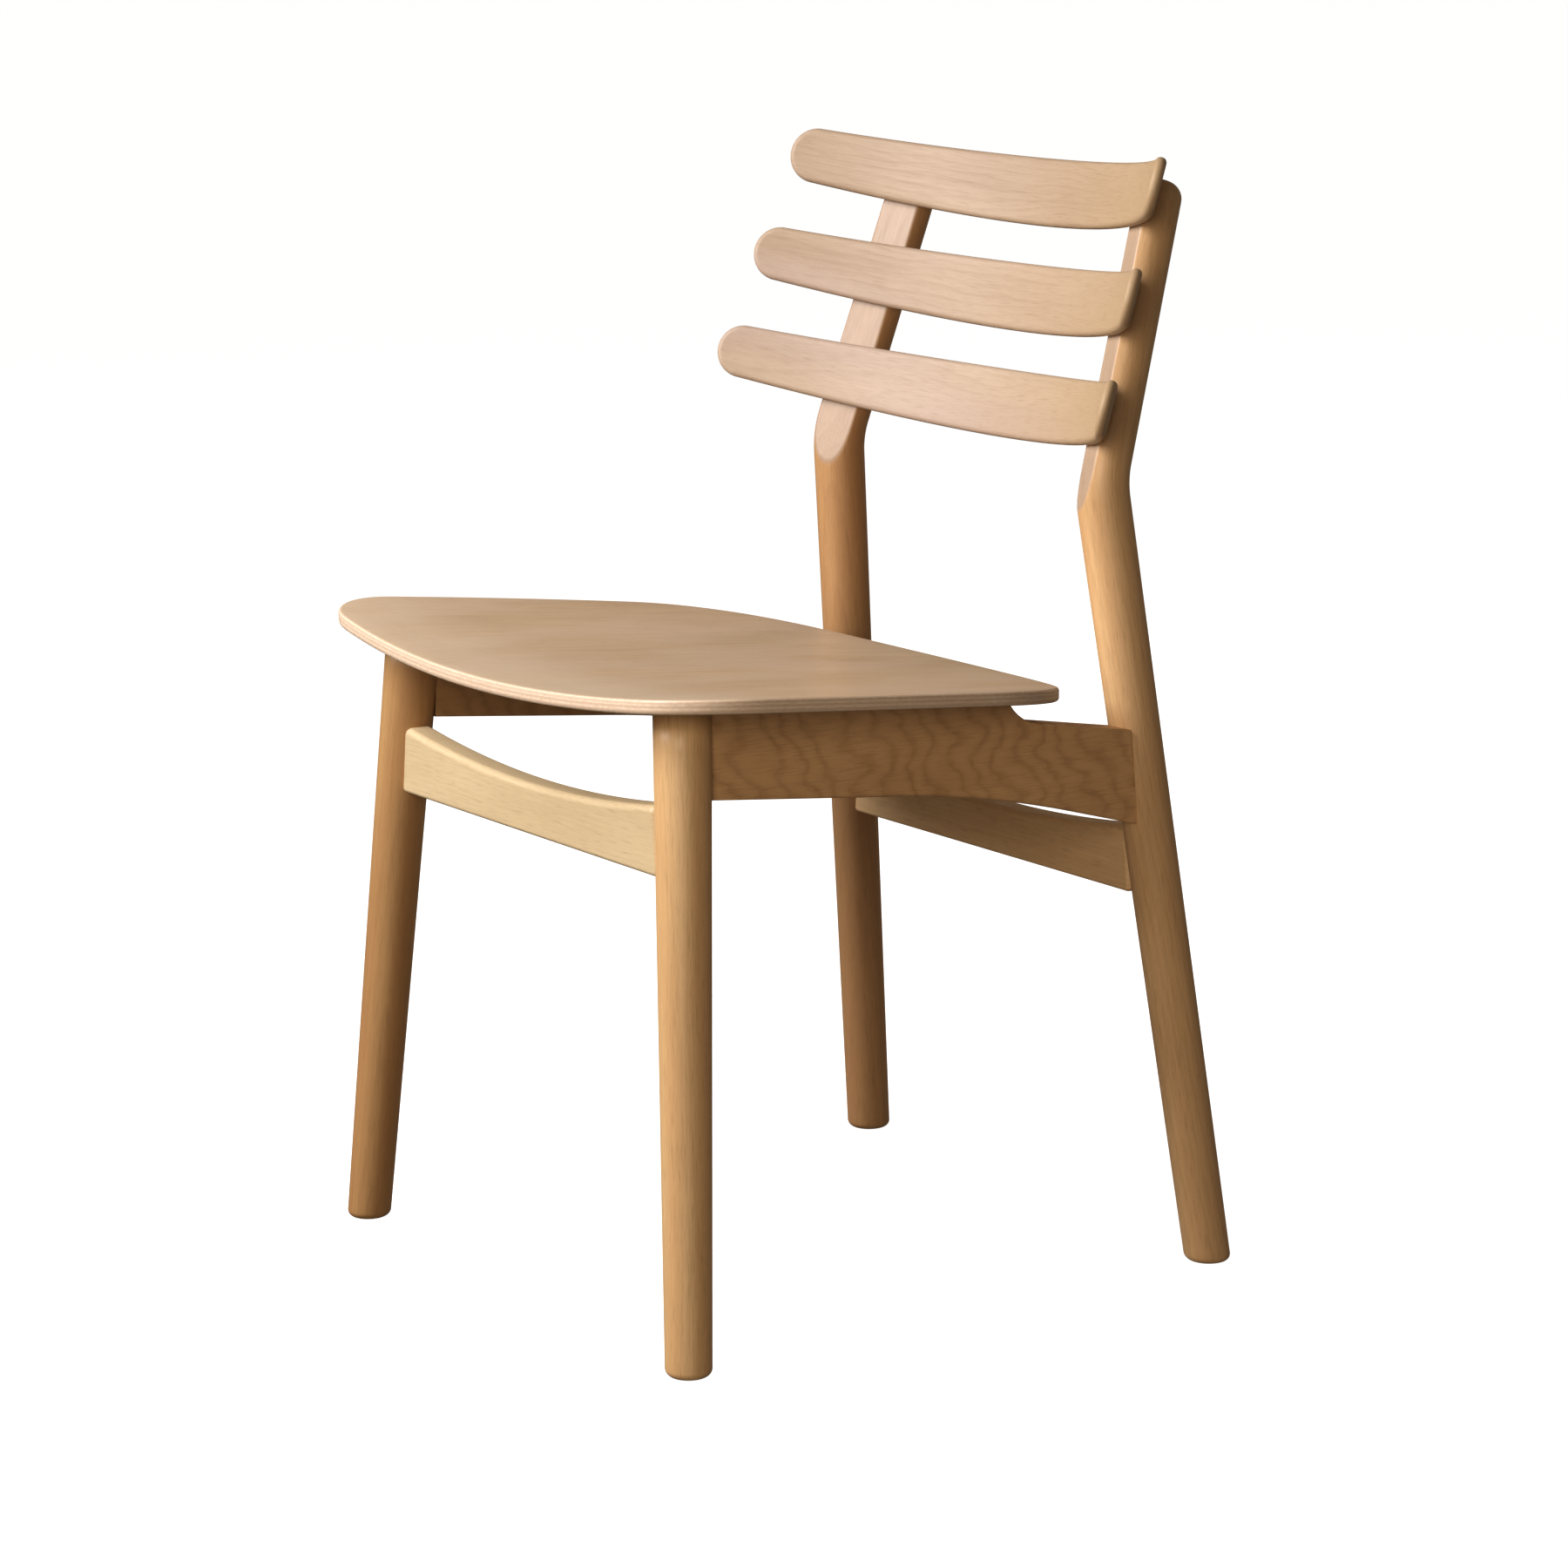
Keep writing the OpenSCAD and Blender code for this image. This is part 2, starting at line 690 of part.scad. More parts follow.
seat_shell();
front_leg(LEFT);  // front_leg_left
front_leg(RIGHT);  // front_leg_right
rear_post(LEFT);  // rear_post_left
rear_post(RIGHT);  // rear_post_right
side_rail(LEFT);  // side_rail_left
side_rail(RIGHT);  // side_rail_right
front_stretcher();
rear_stretcher();
slat(2);  // backrest_slat_top
slat(1);  // backrest_slat_middle
slat(0);  // backrest_slat_bottom
seat_cleat(LEFT);  // seat_cleat_left
seat_cleat(RIGHT);  // seat_cleat_right
stretcher_dowels();
rail_dowels();
slat_screws();
slat_screw_plugs();
cleat_screws();
seat_screws();
foot_glides();
glide_nails();
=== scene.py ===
import math

import bpy
import numpy as np
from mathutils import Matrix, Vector


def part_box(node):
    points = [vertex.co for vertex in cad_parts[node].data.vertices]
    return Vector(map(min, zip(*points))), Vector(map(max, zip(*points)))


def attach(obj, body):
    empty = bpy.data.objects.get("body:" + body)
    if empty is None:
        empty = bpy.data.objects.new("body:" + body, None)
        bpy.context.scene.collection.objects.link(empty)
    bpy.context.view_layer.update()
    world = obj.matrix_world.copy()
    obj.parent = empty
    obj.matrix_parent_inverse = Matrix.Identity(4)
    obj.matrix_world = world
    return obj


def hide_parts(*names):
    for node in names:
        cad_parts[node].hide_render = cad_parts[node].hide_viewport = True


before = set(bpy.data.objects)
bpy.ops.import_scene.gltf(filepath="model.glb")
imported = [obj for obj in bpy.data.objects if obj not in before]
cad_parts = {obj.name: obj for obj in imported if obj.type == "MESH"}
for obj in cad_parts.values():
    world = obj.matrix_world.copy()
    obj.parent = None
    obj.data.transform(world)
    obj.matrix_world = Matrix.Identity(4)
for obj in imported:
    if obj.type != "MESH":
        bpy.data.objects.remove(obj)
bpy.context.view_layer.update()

# ---------------------------------------------------------------- design values, in mm and degrees
# The working frame is the CAD's: x to the sitter's left, y backward from the front foot centres, z up.
SEAT_HEIGHT, SEAT_T, SEAT_TILT, SEAT_DISH_R, SEAT_OVERHANG = 452.0, 10.0, 4.6, 1675.0, 36.7
SEAT_WIDTH, SEAT_LENGTH, WIDEST_Y = 519.6, 430.4, -67.6
FRONT_EDGE_R, SIDE_EDGE_R, REAR_EDGE_R = 1520.0, 2065.0, 345.0
FRONT_CORNER_R, REAR_CORNER_R = 64.8, 155.7
SPLAY, FRONT_RAKE, POST_RAKE, BACK_LEAN = 5.27, 3.0, 6.77, 17.1
FRONT_FOOT, REAR_FOOT = (223.3, 0.0), (216.2, 455.8)
FRONT_FOOT_R, FRONT_TOP_R = 16.2, 19.9
REAR_FOOT_R, BEND_R, POST_TOP_R, POST_TOP_ROUND = 16.8, 19.4, 18.4, 12.5
BEND_HEIGHT, POST_HEIGHT = 573.4, 780.4
BEND_ROUND = 70.0
FLAT_DEPTH, FLAT_TURN = 11.0, 22.0
FOOT_Z, FOOT_ROUND = 0.4, 5.4
SLAT_BEND_R, SLAT_T, SLAT_H = 350.0, 8.4, 50.6
SLAT_REACH, SLAT_REACH_STEP, SLAT_FIRST, SLAT_PITCH, SLAT_LET_IN = 267.0, 12.2, 45.2, 79.0, 0.4
SLAT_TOP_EDGE_R, SLAT_BOTTOM_EDGE_R, SLAT_THIN = 3650.0, 7400.0, 0.14
RAIL_T, RAIL_X = 22.0, 183.7
RAIL_BOTTOM_Z, RAIL_BOTTOM_SLOPE, RAIL_HEEL_SLOPE, RAIL_HEEL_Y, RAIL_HEEL_R = 390.8, 5.7, 15.1, 267.0, 900.0
RAIL_STEP_Y, RAIL_STEP_Z, RAIL_STEP_R, RAIL_STEP_SLOPE = 318.0, 410.0, 37.0, 9.4
STRETCHER_H, STRETCHER_TOP_R, FRONT_STRETCHER_Z, REAR_STRETCHER_Z = 36.8, 1175.0, 333.9, 272.7
FRONT_SHOULDER, REAR_SHOULDER = 17.6, 16.9
# rounded edges: the seat's and the slats', then the stretchers' below and on top, with their corners
SEAT_EDGE_R, SLAT_EDGE_R = 2.6, 3.9
STRETCHER_EDGE_R, STRETCHER_TOP_ROUND = 3.2, 5.0
STRETCHER_CORNER_R, STRETCHER_TOP_CORNER_R = 4.0, 5.0
# a side rail's edges: where it meets the legs, along its top and cove, and elsewhere
RAIL_END_EDGE_R, RAIL_CRISP_EDGE_R, RAIL_EDGE_R = 0.6, 1.2, 3.2
# how far a side rail's end goes on into the leg, so that the leg's round side closes the joint
SUNK = 2.2
# how wide the soft edge of a post's flat is, and how deep a cut has to be to look fully shaved
FLAT_SOFT, FLAT_FEATHER = 1.5, 0.5
# the side rails stop this far below the seat's underside, and the front legs go this far into it
RAIL_GAP, LEG_LAP = 0.05, 0.3
# the seat's plywood: layers, and the thickness of the outer veneer
PLY_LAYERS, VENEER = 7, 0.6
MM = 0.001

rad, sin, cos, tan, pi = math.radians, math.sin, math.cos, math.tan, math.pi
S = rad(SPLAY)
PLANE_RAKE = math.atan(tan(rad(POST_RAKE)) * cos(S))
PLANE_LEAN = math.atan(tan(rad(BACK_LEAN)) * cos(S))
FRONT_PLANE_RAKE = math.atan(tan(rad(FRONT_RAKE)) * cos(S))
LOWER_LENGTH = BEND_HEIGHT / cos(S) / cos(PLANE_RAKE)
UPPER_LENGTH = (POST_HEIGHT - BEND_HEIGHT) / cos(S) / cos(PLANE_LEAN)
BEND_Y = REAR_FOOT[1] - tan(rad(POST_RAKE)) * BEND_HEIGHT
MID_Y = -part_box("seat_shell")[0].y / MM - SEAT_OVERHANG


def to_row(points):
    """Points of the working frame in mm, as the row frame in metres."""
    return (np.asarray(points, float) - [0.0, MID_Y, 0.0]) * MM


def unit(v):
    v = np.asarray(v, float)
    return v / np.linalg.norm(v)


def leg_axes(lean):
    """Unit vectors of a left leg's frame: outward, backward and up its axis."""
    return (
        np.array([cos(S), 0.0, sin(S)]),
        np.array([sin(lean) * sin(S), cos(lean), -sin(lean) * cos(S)]),
        np.array([-cos(lean) * sin(S), sin(lean), cos(lean) * cos(S)]),
    )


# ---------------------------------------------------------------- flat curves
def arc(c, r, a0, a1, n):
    """n + 1 points along an arc, angles in degrees."""
    a = np.radians(np.linspace(a0, a1, n + 1))
    return np.stack([c[0] + r * np.cos(a), c[1] + r * np.sin(a)], 1)


def crossing(c1, r1, c2, r2, side):
    """Where two circles cross. side is 1 or -1, for the left or the right of the way from c1 to c2."""
    c1, c2 = np.asarray(c1, float), np.asarray(c2, float)
    gap = c2 - c1
    d = np.linalg.norm(gap)
    u = gap / d
    along = (r1 * r1 - r2 * r2 + d * d) / (2 * d)
    return c1 + along * u + side * math.sqrt(r1 * r1 - along * along) * np.array([-u[1], u[0]])


def bearing(c, p):
    """Direction from c to p, in degrees."""
    return math.degrees(math.atan2(p[1] - c[1], p[0] - c[0]))


def tidy_loop(points, least=0.02):
    """The closed loop without doubled points."""
    kept = [points[0]]
    for p in points[1:]:
        if np.linalg.norm(p - kept[-1]) > least:
            kept.append(p)
    if np.linalg.norm(kept[0] - kept[-1]) <= least:
        kept.pop()
    return np.array(kept)


def rounded_corners(corners, steps=7):
    """A closed loop through (x, y, radius) corners; a radius of 0 keeps the point as it is."""
    n, out = len(corners), []
    for i, (x, y, r) in enumerate(corners):
        p = np.array([x, y])
        if r <= 0:
            out.append(p)
            continue
        a = unit(np.array(corners[i - 1][:2]) - p)
        b = unit(np.array(corners[(i + 1) % n][:2]) - p)
        half = math.acos(max(-1.0, min(1.0, float(a @ b)))) / 2
        run = r / tan(half)
        c = p + unit(a + b) * r / sin(half)
        a0, a1 = bearing(c, p + a * run), bearing(c, p + b * run)
        turn = (a1 - a0 + 180) % 360 - 180
        out.extend(arc(c, r, a0, a0 + turn, steps))
    return tidy_loop(out)


def outward(loop):
    """Outward mitred normals of a counter-clockwise loop."""
    before = loop - np.roll(loop, 1, axis=0)
    after = np.roll(loop, -1, axis=0) - loop
    n1 = np.stack([before[:, 1], -before[:, 0]], 1)
    n2 = np.stack([after[:, 1], -after[:, 0]], 1)
    n1 /= np.linalg.norm(n1, axis=1)[:, None]
    n2 /= np.linalg.norm(n2, axis=1)[:, None]
    n = n1 + n2
    n /= np.linalg.norm(n, axis=1)[:, None]
    return n / np.maximum((n * n1).sum(1), 0.5)[:, None]


def counter_clockwise(loop):
    x, y = loop[:, 0], loop[:, 1]
    area = (x * np.roll(y, -1) - np.roll(x, -1) * y).sum()
    return loop if area > 0 else loop[::-1]


# ---------------------------------------------------------------- meshes
def edge_rings(loop, radius, thickness, steps):
    """Rings round a plate's rounded edge, from its top face (depth 0) to its bottom face: (loop, depth)."""
    n = outward(loop)
    radius = np.broadcast_to(np.asarray(radius, float), (len(loop),))
    rings = []
    for k in range(steps + 1):
        a = pi / 2 * k / steps
        inset, drop = radius * (1 - sin(a)), radius * (1 - cos(a))
        rings.append((loop - n * inset[:, None], drop))
    lower = [(ring, thickness - drop) for ring, drop in reversed(rings)]
    return rings + lower


def ring_faces(first, count, size):
    """Quads between count rings of size vertices each."""
    faces = []
    for j in range(count - 1):
        a, b = first + j * size, first + (j + 1) * size
        for k in range(size):
            m = (k + 1) % size
            faces.append((a + k, a + m, b + m, b + k))
    return faces


def slab(loop, radius, thickness, steps=5):
    """A flat plate with rounded edges. Vertices are (u, v, depth); its two faces are single polygons."""
    rings = edge_rings(loop, radius, thickness, steps)
    size = len(loop)
    verts = np.concatenate([np.column_stack([ring, np.broadcast_to(d, size)]) for ring, d in rings])
    faces = ring_faces(0, len(rings), size)
    faces.append(tuple(reversed(range(size))))
    faces.append(tuple(range((len(rings) - 1) * size, len(rings) * size)))
    return verts, faces


def radial_plate(loop, radius, thickness, centre, shares, steps=6):
    """A plate that can be curved: its two faces are nets of smaller and smaller copies of its outline."""
    rings = edge_rings(loop, radius, thickness, steps)
    size = len(loop)
    top, bottom = rings[0][0], rings[-1][0]
    layers = [(centre + (top - centre) * s, np.zeros(size)) for s in shares]
    layers += rings
    layers += [(centre + (bottom - centre) * s, np.full(size, thickness)) for s in reversed(shares)]
    verts = np.concatenate([np.column_stack([ring, np.broadcast_to(d, size)]) for ring, d in layers])
    faces = ring_faces(0, len(layers), size)
    last = len(verts) - size
    verts = np.concatenate([verts, [[*centre, 0.0], [*centre, thickness]]])
    for k in range(size):
        m = (k + 1) % size
        faces.append((len(verts) - 2, m, k))
        faces.append((len(verts) - 1, last + k, last + m))
    return verts, faces


def paired_plate(loop, radius, thickness, across=10, steps=6):
    """A long plate, symmetric about its first and middle outline points, with faces netted across it."""
    rings = edge_rings(loop, radius, thickness, steps)
    size = len(loop)
    verts = [np.column_stack([ring, np.broadcast_to(d, size)]) for ring, d in rings]
    faces = ring_faces(0, len(rings), size)
    total = len(rings) * size
    for ring_no, flip in ((0, False), (len(rings) - 1, True)):
        ring, d = rings[ring_no]
        base = ring_no * size
        half = size // 2
        rows = [[base]]
        for i in range(1, half):
            a, b = ring[i], ring[size - i]
            row = [base + i]
            for k in range(1, across):
                t = k / across
                verts.append(np.array([[*(a + (b - a) * t), float(np.broadcast_to(d, size)[i])]]))
                row.append(total)
                total += 1
            row.append(base + size - i)
            rows.append(row)
        rows.append([base + half])
        for r0, r1 in zip(rows, rows[1:]):
            if len(r0) == 1:
                new = [(r0[0], r1[k + 1], r1[k]) for k in range(len(r1) - 1)]
            elif len(r1) == 1:
                new = [(r0[k], r0[k + 1], r1[0]) for k in range(len(r0) - 1)]
            else:
                new = [(r0[k], r0[k + 1], r1[k + 1], r1[k]) for k in range(len(r0) - 1)]
            faces.extend([tuple(reversed(f)) for f in new] if flip else new)
    return np.concatenate(verts), faces


def tube(grid):
    """A closed tube from rings of vertices, with a fan at each end."""
    rows, size = grid.shape[:2]
    verts = np.concatenate([grid.reshape(-1, 3), [grid[0].mean(0)], [grid[-1].mean(0)]])
    faces = ring_faces(0, rows, size)
    last = (rows - 1) * size
    for k in range(size):
        m = (k + 1) % size
        faces.append((len(verts) - 2, m, k))
        faces.append((len(verts) - 1, last + k, last + m))
    return verts, faces


def signed_volume(verts, faces):
    """Six times the volume, negative if the faces look inward."""
    total = 0.0
    for f in faces:
        a = verts[f[0]]
        for k in range(1, len(f) - 1):
            total += float(a @ np.cross(verts[f[k]], verts[f[k + 1]]))
    return total


def piece(name, verts, faces, grain, material, nodes, slot, weighted=False, **extra):
    """Makes a piece from working-frame vertices in mm. grain holds each vertex's place in the wood, in mm:
    along the grain, and two ways across it. extra holds more numbers for the material, one per vertex."""
    verts = np.asarray(verts, float)
    if signed_volume(verts, faces) < 0:
        faces = [tuple(reversed(f)) for f in faces]
    mesh = bpy.data.meshes.new(name)
    mesh.from_pydata([tuple(p) for p in to_row(verts)], [], faces)
    mesh.validate()
    mesh.polygons.foreach_set("use_smooth", [True] * len(mesh.polygons))
    attribute = mesh.attributes.new("grain", "FLOAT_VECTOR", "POINT")
    attribute.data.foreach_set("vector", (np.asarray(grain, float) * MM).astype(np.float32).ravel())
    for key, values in extra.items():
        attribute = mesh.attributes.new(key, "FLOAT", "POINT")
        attribute.data.foreach_set("value", np.asarray(values, np.float32))
    mesh.materials.append(material)
    obj = bpy.data.objects.new(name, mesh)
    bpy.context.scene.collection.objects.link(obj)
    if weighted:
        modifier = obj.modifiers.new("even faces", "WEIGHTED_NORMAL")
        modifier.weight = 100
        modifier.keep_sharp = True
    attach(obj, "root")
    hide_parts(*nodes)
    return obj


def mirrored(verts):
    return np.asarray(verts) * [-1.0, 1.0, 1.0]


# ---------------------------------------------------------------- materials
class Tree:
    """Short ways to add shader nodes."""

    def __init__(self, name):
        self.material = bpy.data.materials.new(name)
        self.material.use_nodes = True
        self.nodes = self.material.node_tree.nodes
        self.links = self.material.node_tree.links
        self.nodes.clear()
        self.out = self.nodes.new("ShaderNodeOutputMaterial")
        self.shader = self.nodes.new("ShaderNodeBsdfPrincipled")
        self.links.new(self.shader.outputs[0], self.out.inputs[0])

    def put(self, socket, value):
        if isinstance(value, bpy.types.NodeSocket):
            self.links.new(value, socket)
        else:
            socket.default_value = value

    def attribute(self, name, output="Vector"):
        node = self.nodes.new("ShaderNodeAttribute")
        node.attribute_name = name
        return node.outputs[output]

    def place(self):
        return self.nodes.new("ShaderNodeTexCoord").outputs["Object"]

    def vector(self, operation, a, b=(0.0, 0.0, 0.0)):
        node = self.nodes.new("ShaderNodeVectorMath")
        node.operation = operation
        self.put(node.inputs[0], a)
        self.put(node.inputs[1], b)
        return node.outputs["Value" if operation in ("LENGTH", "DOT_PRODUCT") else "Vector"]

    def math(self, operation, a, b=0.0, c=0.0, clamp=False):
        node = self.nodes.new("ShaderNodeMath")
        node.operation = operation
        node.use_clamp = clamp
        for socket, value in zip(node.inputs, (a, b, c)):
            self.put(socket, value)
        return node.outputs[0]

    def noise(self, at, scale=(1.0, 1.0, 1.0), detail=2.0, rough=0.5, distortion=0.0, colour=False):
        node = self.nodes.new("ShaderNodeTexNoise")
        node.inputs["Scale"].default_value = 1.0
        node.inputs["Detail"].default_value = detail
        node.inputs["Roughness"].default_value = rough
        node.inputs["Distortion"].default_value = distortion
        self.put(node.inputs["Vector"], self.vector("MULTIPLY", at, scale))
        return node.outputs["Color" if colour else "Fac"]

    def spread(self, noise, gain=2.4, base=-0.7):
        """Stretches a noise, which stays near 0.5, over about 0 to 1."""
        return self.math("MULTIPLY_ADD", noise, gain, base)

    def pores(self, at, scale, end):
        """1 in short pores along the grain and 0 between them."""
        return self.ramp(self.noise(at, scale, 2.0), [(0.0, 1.0), (0.36, 1.0), (end, 0.0), (1.0, 0.0)])

    def ramp(self, value, stops, smooth=False):
        node = self.nodes.new("ShaderNodeValToRGB")
        node.color_ramp.interpolation = "EASE" if smooth else "LINEAR"
        elements = node.color_ramp.elements
        while len(elements) < len(stops):
            elements.new(0.5)
        for element, (at, tone) in zip(elements, stops):
            element.position = at
            element.color = (*tone, 1.0) if isinstance(tone, tuple) else (tone, tone, tone, 1.0)
        self.put(node.inputs[0], value)
        return node.outputs[0]

    def mix(self, share, a, b, blend="MIX"):
        node = self.nodes.new("ShaderNodeMix")
        node.data_type = "RGBA"
        node.blend_type = blend
        self.put(node.inputs[0], share)
        self.put(node.inputs[6], a if isinstance(a, bpy.types.NodeSocket) else (*a, 1.0))
        self.put(node.inputs[7], b if isinstance(b, bpy.types.NodeSocket) else (*b, 1.0))
        return node.outputs[2]

    def bump(self, height, distance, strength=1.0):
        node = self.nodes.new("ShaderNodeBump")
        node.inputs["Distance"].default_value = distance
        node.inputs["Strength"].default_value = strength
        self.put(node.inputs["Height"], height)
        self.put(self.shader.inputs["Normal"], node.outputs[0])

    def finish(self, **values):
        for name, value in values.items():
            self.put(self.shader.inputs[name.replace("_", " ")], value)
        return self.material


def wood(name, light, dark, deep, rings=0.0032, ring_share=0.35, heart=(0.045, 0.03), drift=0.05,
         sway_by=0.012, streak=(16.0, 9.0), curl=0.0, fibre_share=0.35, mottle_share=0.4, rough=0.42,
         coat=0.12, blush=None, blush_share=0.0, patch_scale=(3.5, 15.0, 15.0), honey=None, shaved=None):
    """Clear-lacquered wood. Its place comes from the grain attribute, in metres: x runs along the fibres.

    light, dark, deep: its tones, and that of its pores
    rings, heart, drift: width of a growth ring, where the heart lies beside the piece, and how fast the
        rings change along the grain; sway_by is how far they wander
    streak: how often fine and coarse fibres change along the grain
    curl: above 0, a wavy figure across the grain takes the place of straight rings
    ring_share, fibre_share, mottle_share: how much of the way from light to dark each one goes
    blush, blush_share, patch_scale: a second tone in patches
    honey: a tone that comes in along the piece, by its along attribute
    shaved: light and dark of a planed face, by its shaved attribute
    """
    t = Tree(name)
    at = t.attribute("grain")
    sway = t.vector("SUBTRACT", t.noise(at, (5.0, 14.0, 14.0), 2.0, colour=True), (0.5, 0.5, 0.5))
    bent = t.vector("ADD", at, t.vector("MULTIPLY", sway, (0.0, sway_by, sway_by)))
    rings_at = t.vector("MULTIPLY", t.vector("ADD", bent, (0.0, heart[0], heart[1])), (drift, 1.0, 1.0))
    radius = t.vector("LENGTH", rings_at)
    stops = [(0.0, 0.0), (0.55, 0.22), (0.84, 0.75), (0.92, 1.0), (1.0, 0.0)]
    if curl:
        wave = t.noise(at, (20.0, 40.0, 40.0), 2.0, 0.5)
        wide = t.noise(at, (6.0, 12.0, 12.0), 1.0)
        along = t.vector("DOT_PRODUCT", at, (curl, 0.35 * curl, 0.0))
        wander = t.math("ADD", t.math("MULTIPLY", wave, 0.058), t.math("MULTIPLY", wide, 0.06))
        radius = t.math("ADD", along, wander)
        stops = [(0.0, 0.15), (0.25, 0.0), (0.5, 0.3), (0.68, 1.0), (0.8, 0.75), (1.0, 0.15)]
    ring = t.math("FRACT", t.math("DIVIDE", radius, rings))
    ring = t.ramp(ring, stops, smooth=bool(curl))
    broken = t.noise(at, (18.0, 130.0, 130.0), 2.0, 0.6)
    ring = t.math("MULTIPLY", ring, t.spread(broken, 1.2, 0.1))
    # fibres, pores and slow changes of tone
    fibre = t.noise(at, (streak[0], 900.0, 900.0), 3.0, 0.6)
    coarse = t.noise(at, (streak[1], 260.0, 260.0), 2.0, 0.55)
    pore = t.pores(at, (55.0, 2300.0, 2300.0), 0.44)
    mottle = t.noise(at, (6.0, 22.0, 22.0), 2.0, 0.5)
    streaks = t.math("ADD", t.math("MULTIPLY", fibre, 0.5), t.math("MULTIPLY", coarse, 0.5))
    tone = t.math("MULTIPLY", ring, ring_share)
    tone = t.math("MULTIPLY_ADD", t.spread(streaks), fibre_share, tone)
    tone = t.math("MULTIPLY_ADD", t.spread(mottle), mottle_share, tone, clamp=True)
    colour = t.mix(tone, light, dark)
    if blush is not None:
        patch = t.ramp(t.noise(at, patch_scale, 1.0), [(0.38, 0.0), (0.62, 1.0)], smooth=True)
        colour = t.mix(t.math("MULTIPLY", patch, blush_share), colour, blush)
    if honey is not None:
        share = t.ramp(t.attribute("along", "Fac"), [(0.35, 0.0), (0.95, 0.85)], smooth=True)
        colour = t.mix(share, colour, honey)
    if shaved is not None:
        share = t.math("MULTIPLY", t.attribute("shaved", "Fac"), 0.75)
        colour = t.mix(share, colour, t.mix(tone, *shaved))
    colour = t.mix(t.math("MULTIPLY", pore, 0.28), colour, deep)
    t.bump(t.math("SUBTRACT", t.math("MULTIPLY", streaks, 0.6), t.math("MULTIPLY", pore, 0.5)), 0.00012, 0.35)
    return t.finish(
        Base_Color=colour,
        Roughness=t.math("MULTIPLY_ADD", streaks, 0.2, rough - 0.1),
        Specular_IOR_Level=0.45,
        Coat_Weight=coat,
        Coat_Roughness=0.3,
    )


def plywood(name):
    """The seat: a veneer face, and an edge of thin layers whose grain runs by turns along and across."""
    t = Tree(name)
    at = t.attribute("grain")
    depth = t.attribute("ply_depth", "Fac")
    sway = t.vector("SUBTRACT", t.noise(at, (4.0, 9.0, 9.0), 2.0, colour=True), (0.5, 0.5, 0.5))
    bent = t.vector("ADD", at, t.vector("MULTIPLY", sway, (0.0, 0.03, 0.0)))
    figure = t.noise(bent, (3.2, 46.0, 1.0), 3.0, 0.55)
    figure = t.ramp(figure, [(0.3, 0.0), (0.5, 0.55), (0.56, 0.2), (0.7, 1.0)], smooth=True)
    fibre = t.noise(at, (14.0, 800.0, 800.0), 3.0, 0.6)
    coarse = t.noise(at, (10.0, 240.0, 240.0), 2.0, 0.6)
    mottle = t.noise(at, (5.0, 11.0, 1.0), 2.0)
    pore = t.pores(at, (60.0, 2100.0, 2100.0), 0.43)
    tone = t.math("MULTIPLY", figure, 0.42)
    tone = t.math("MULTIPLY_ADD", t.spread(fibre, 2.2, -0.6), 0.18, tone)
    tone = t.math("MULTIPLY_ADD", t.spread(coarse, 2.2, -0.6), 0.2, tone)
    tone = t.math("MULTIPLY_ADD", t.spread(mottle), 0.3, tone, clamp=True)
    face = t.mix(tone, SEAT_LIGHT, SEAT_DARK)
    patch = t.ramp(t.noise(at, (6.0, 17.0, 1.0), 2.0), [(0.4, 0.0), (0.62, 1.0)], smooth=True)
    face = t.mix(t.math("MULTIPLY", patch, 0.55), face, SEAT_BLUSH)
    # painted sheen: the face pales towards the seat's front edge
    forward = t.ramp(t.vector("DOT_PRODUCT", at, (10.0, 0.0, 0.0)), [(0.0, 0.4), (0.9, 0.0)], smooth=True)
    face = t.mix(forward, face, SEAT_PAINTED_SHEEN)
    face = t.mix(t.math("MULTIPLY", pore, 0.22), face, DEEP)
    # layers on the edge
    wobble = t.noise(at, (40.0, 40.0, 1.0), 2.0)
    level = t.math("DIVIDE", t.math("MULTIPLY_ADD", wobble, 0.00025, depth), SEAT_T * MM / PLY_LAYERS)
    layer = t.math("FRACT", level)
    odd = t.math("PINGPONG", t.math("FLOOR", level), 1.0)
    glue = t.ramp(layer, [(0.0, 1.0), (0.1, 0.0), (0.92, 0.0), (1.0, 1.0)])
    speckle = t.noise(at, (260.0, 260.0, 900.0), 2.0, 0.6)
    edge = t.mix(odd, EDGE_LIGHT, EDGE_DARK)
    edge = t.mix(t.math("MULTIPLY", t.spread(speckle, 2.0, -0.5), 0.5), edge, SEAT_DARK)
    edge = t.mix(t.math("MULTIPLY", glue, 0.28), edge, GLUE_LINE)
    half = SEAT_T * MM / 2
    from_middle = t.math("ABSOLUTE", t.math("SUBTRACT", depth, half))
    side = t.math("LESS_THAN", from_middle, half - VENEER * MM)
    colour = t.mix(side, face, edge)
    height = t.math("SUBTRACT", t.math("MULTIPLY", fibre, 0.6), t.math("MULTIPLY", pore, 0.4))
    t.bump(height, 0.0001, 0.3)
    return t.finish(
        Base_Color=colour,
        Roughness=t.math("MULTIPLY_ADD", coarse, 0.2, 0.34),
        Specular_IOR_Level=0.42,
        Coat_Weight=0.1,
        Coat_Roughness=0.32,
    )


def plain_wood(name, light, dark, scale):
    """End-grain wood of the small CAD pieces, placed by the row frame."""
    t = Tree(name)
    at = t.place()
    rings = t.noise(at, (scale, scale * 0.2, scale), 3.0, 0.6, 0.6)
    speck = t.noise(at, (2600.0, 2600.0, 2600.0), 2.0)
    tone = t.math("MULTIPLY_ADD", speck, 0.5, t.math("MULTIPLY", rings, 0.6), clamp=True)
    t.bump(speck, 0.0001, 0.3)
    return t.finish(Base_Color=t.mix(tone, light, dark), Roughness=t.math("MULTIPLY_ADD", rings, 0.2, 0.4))


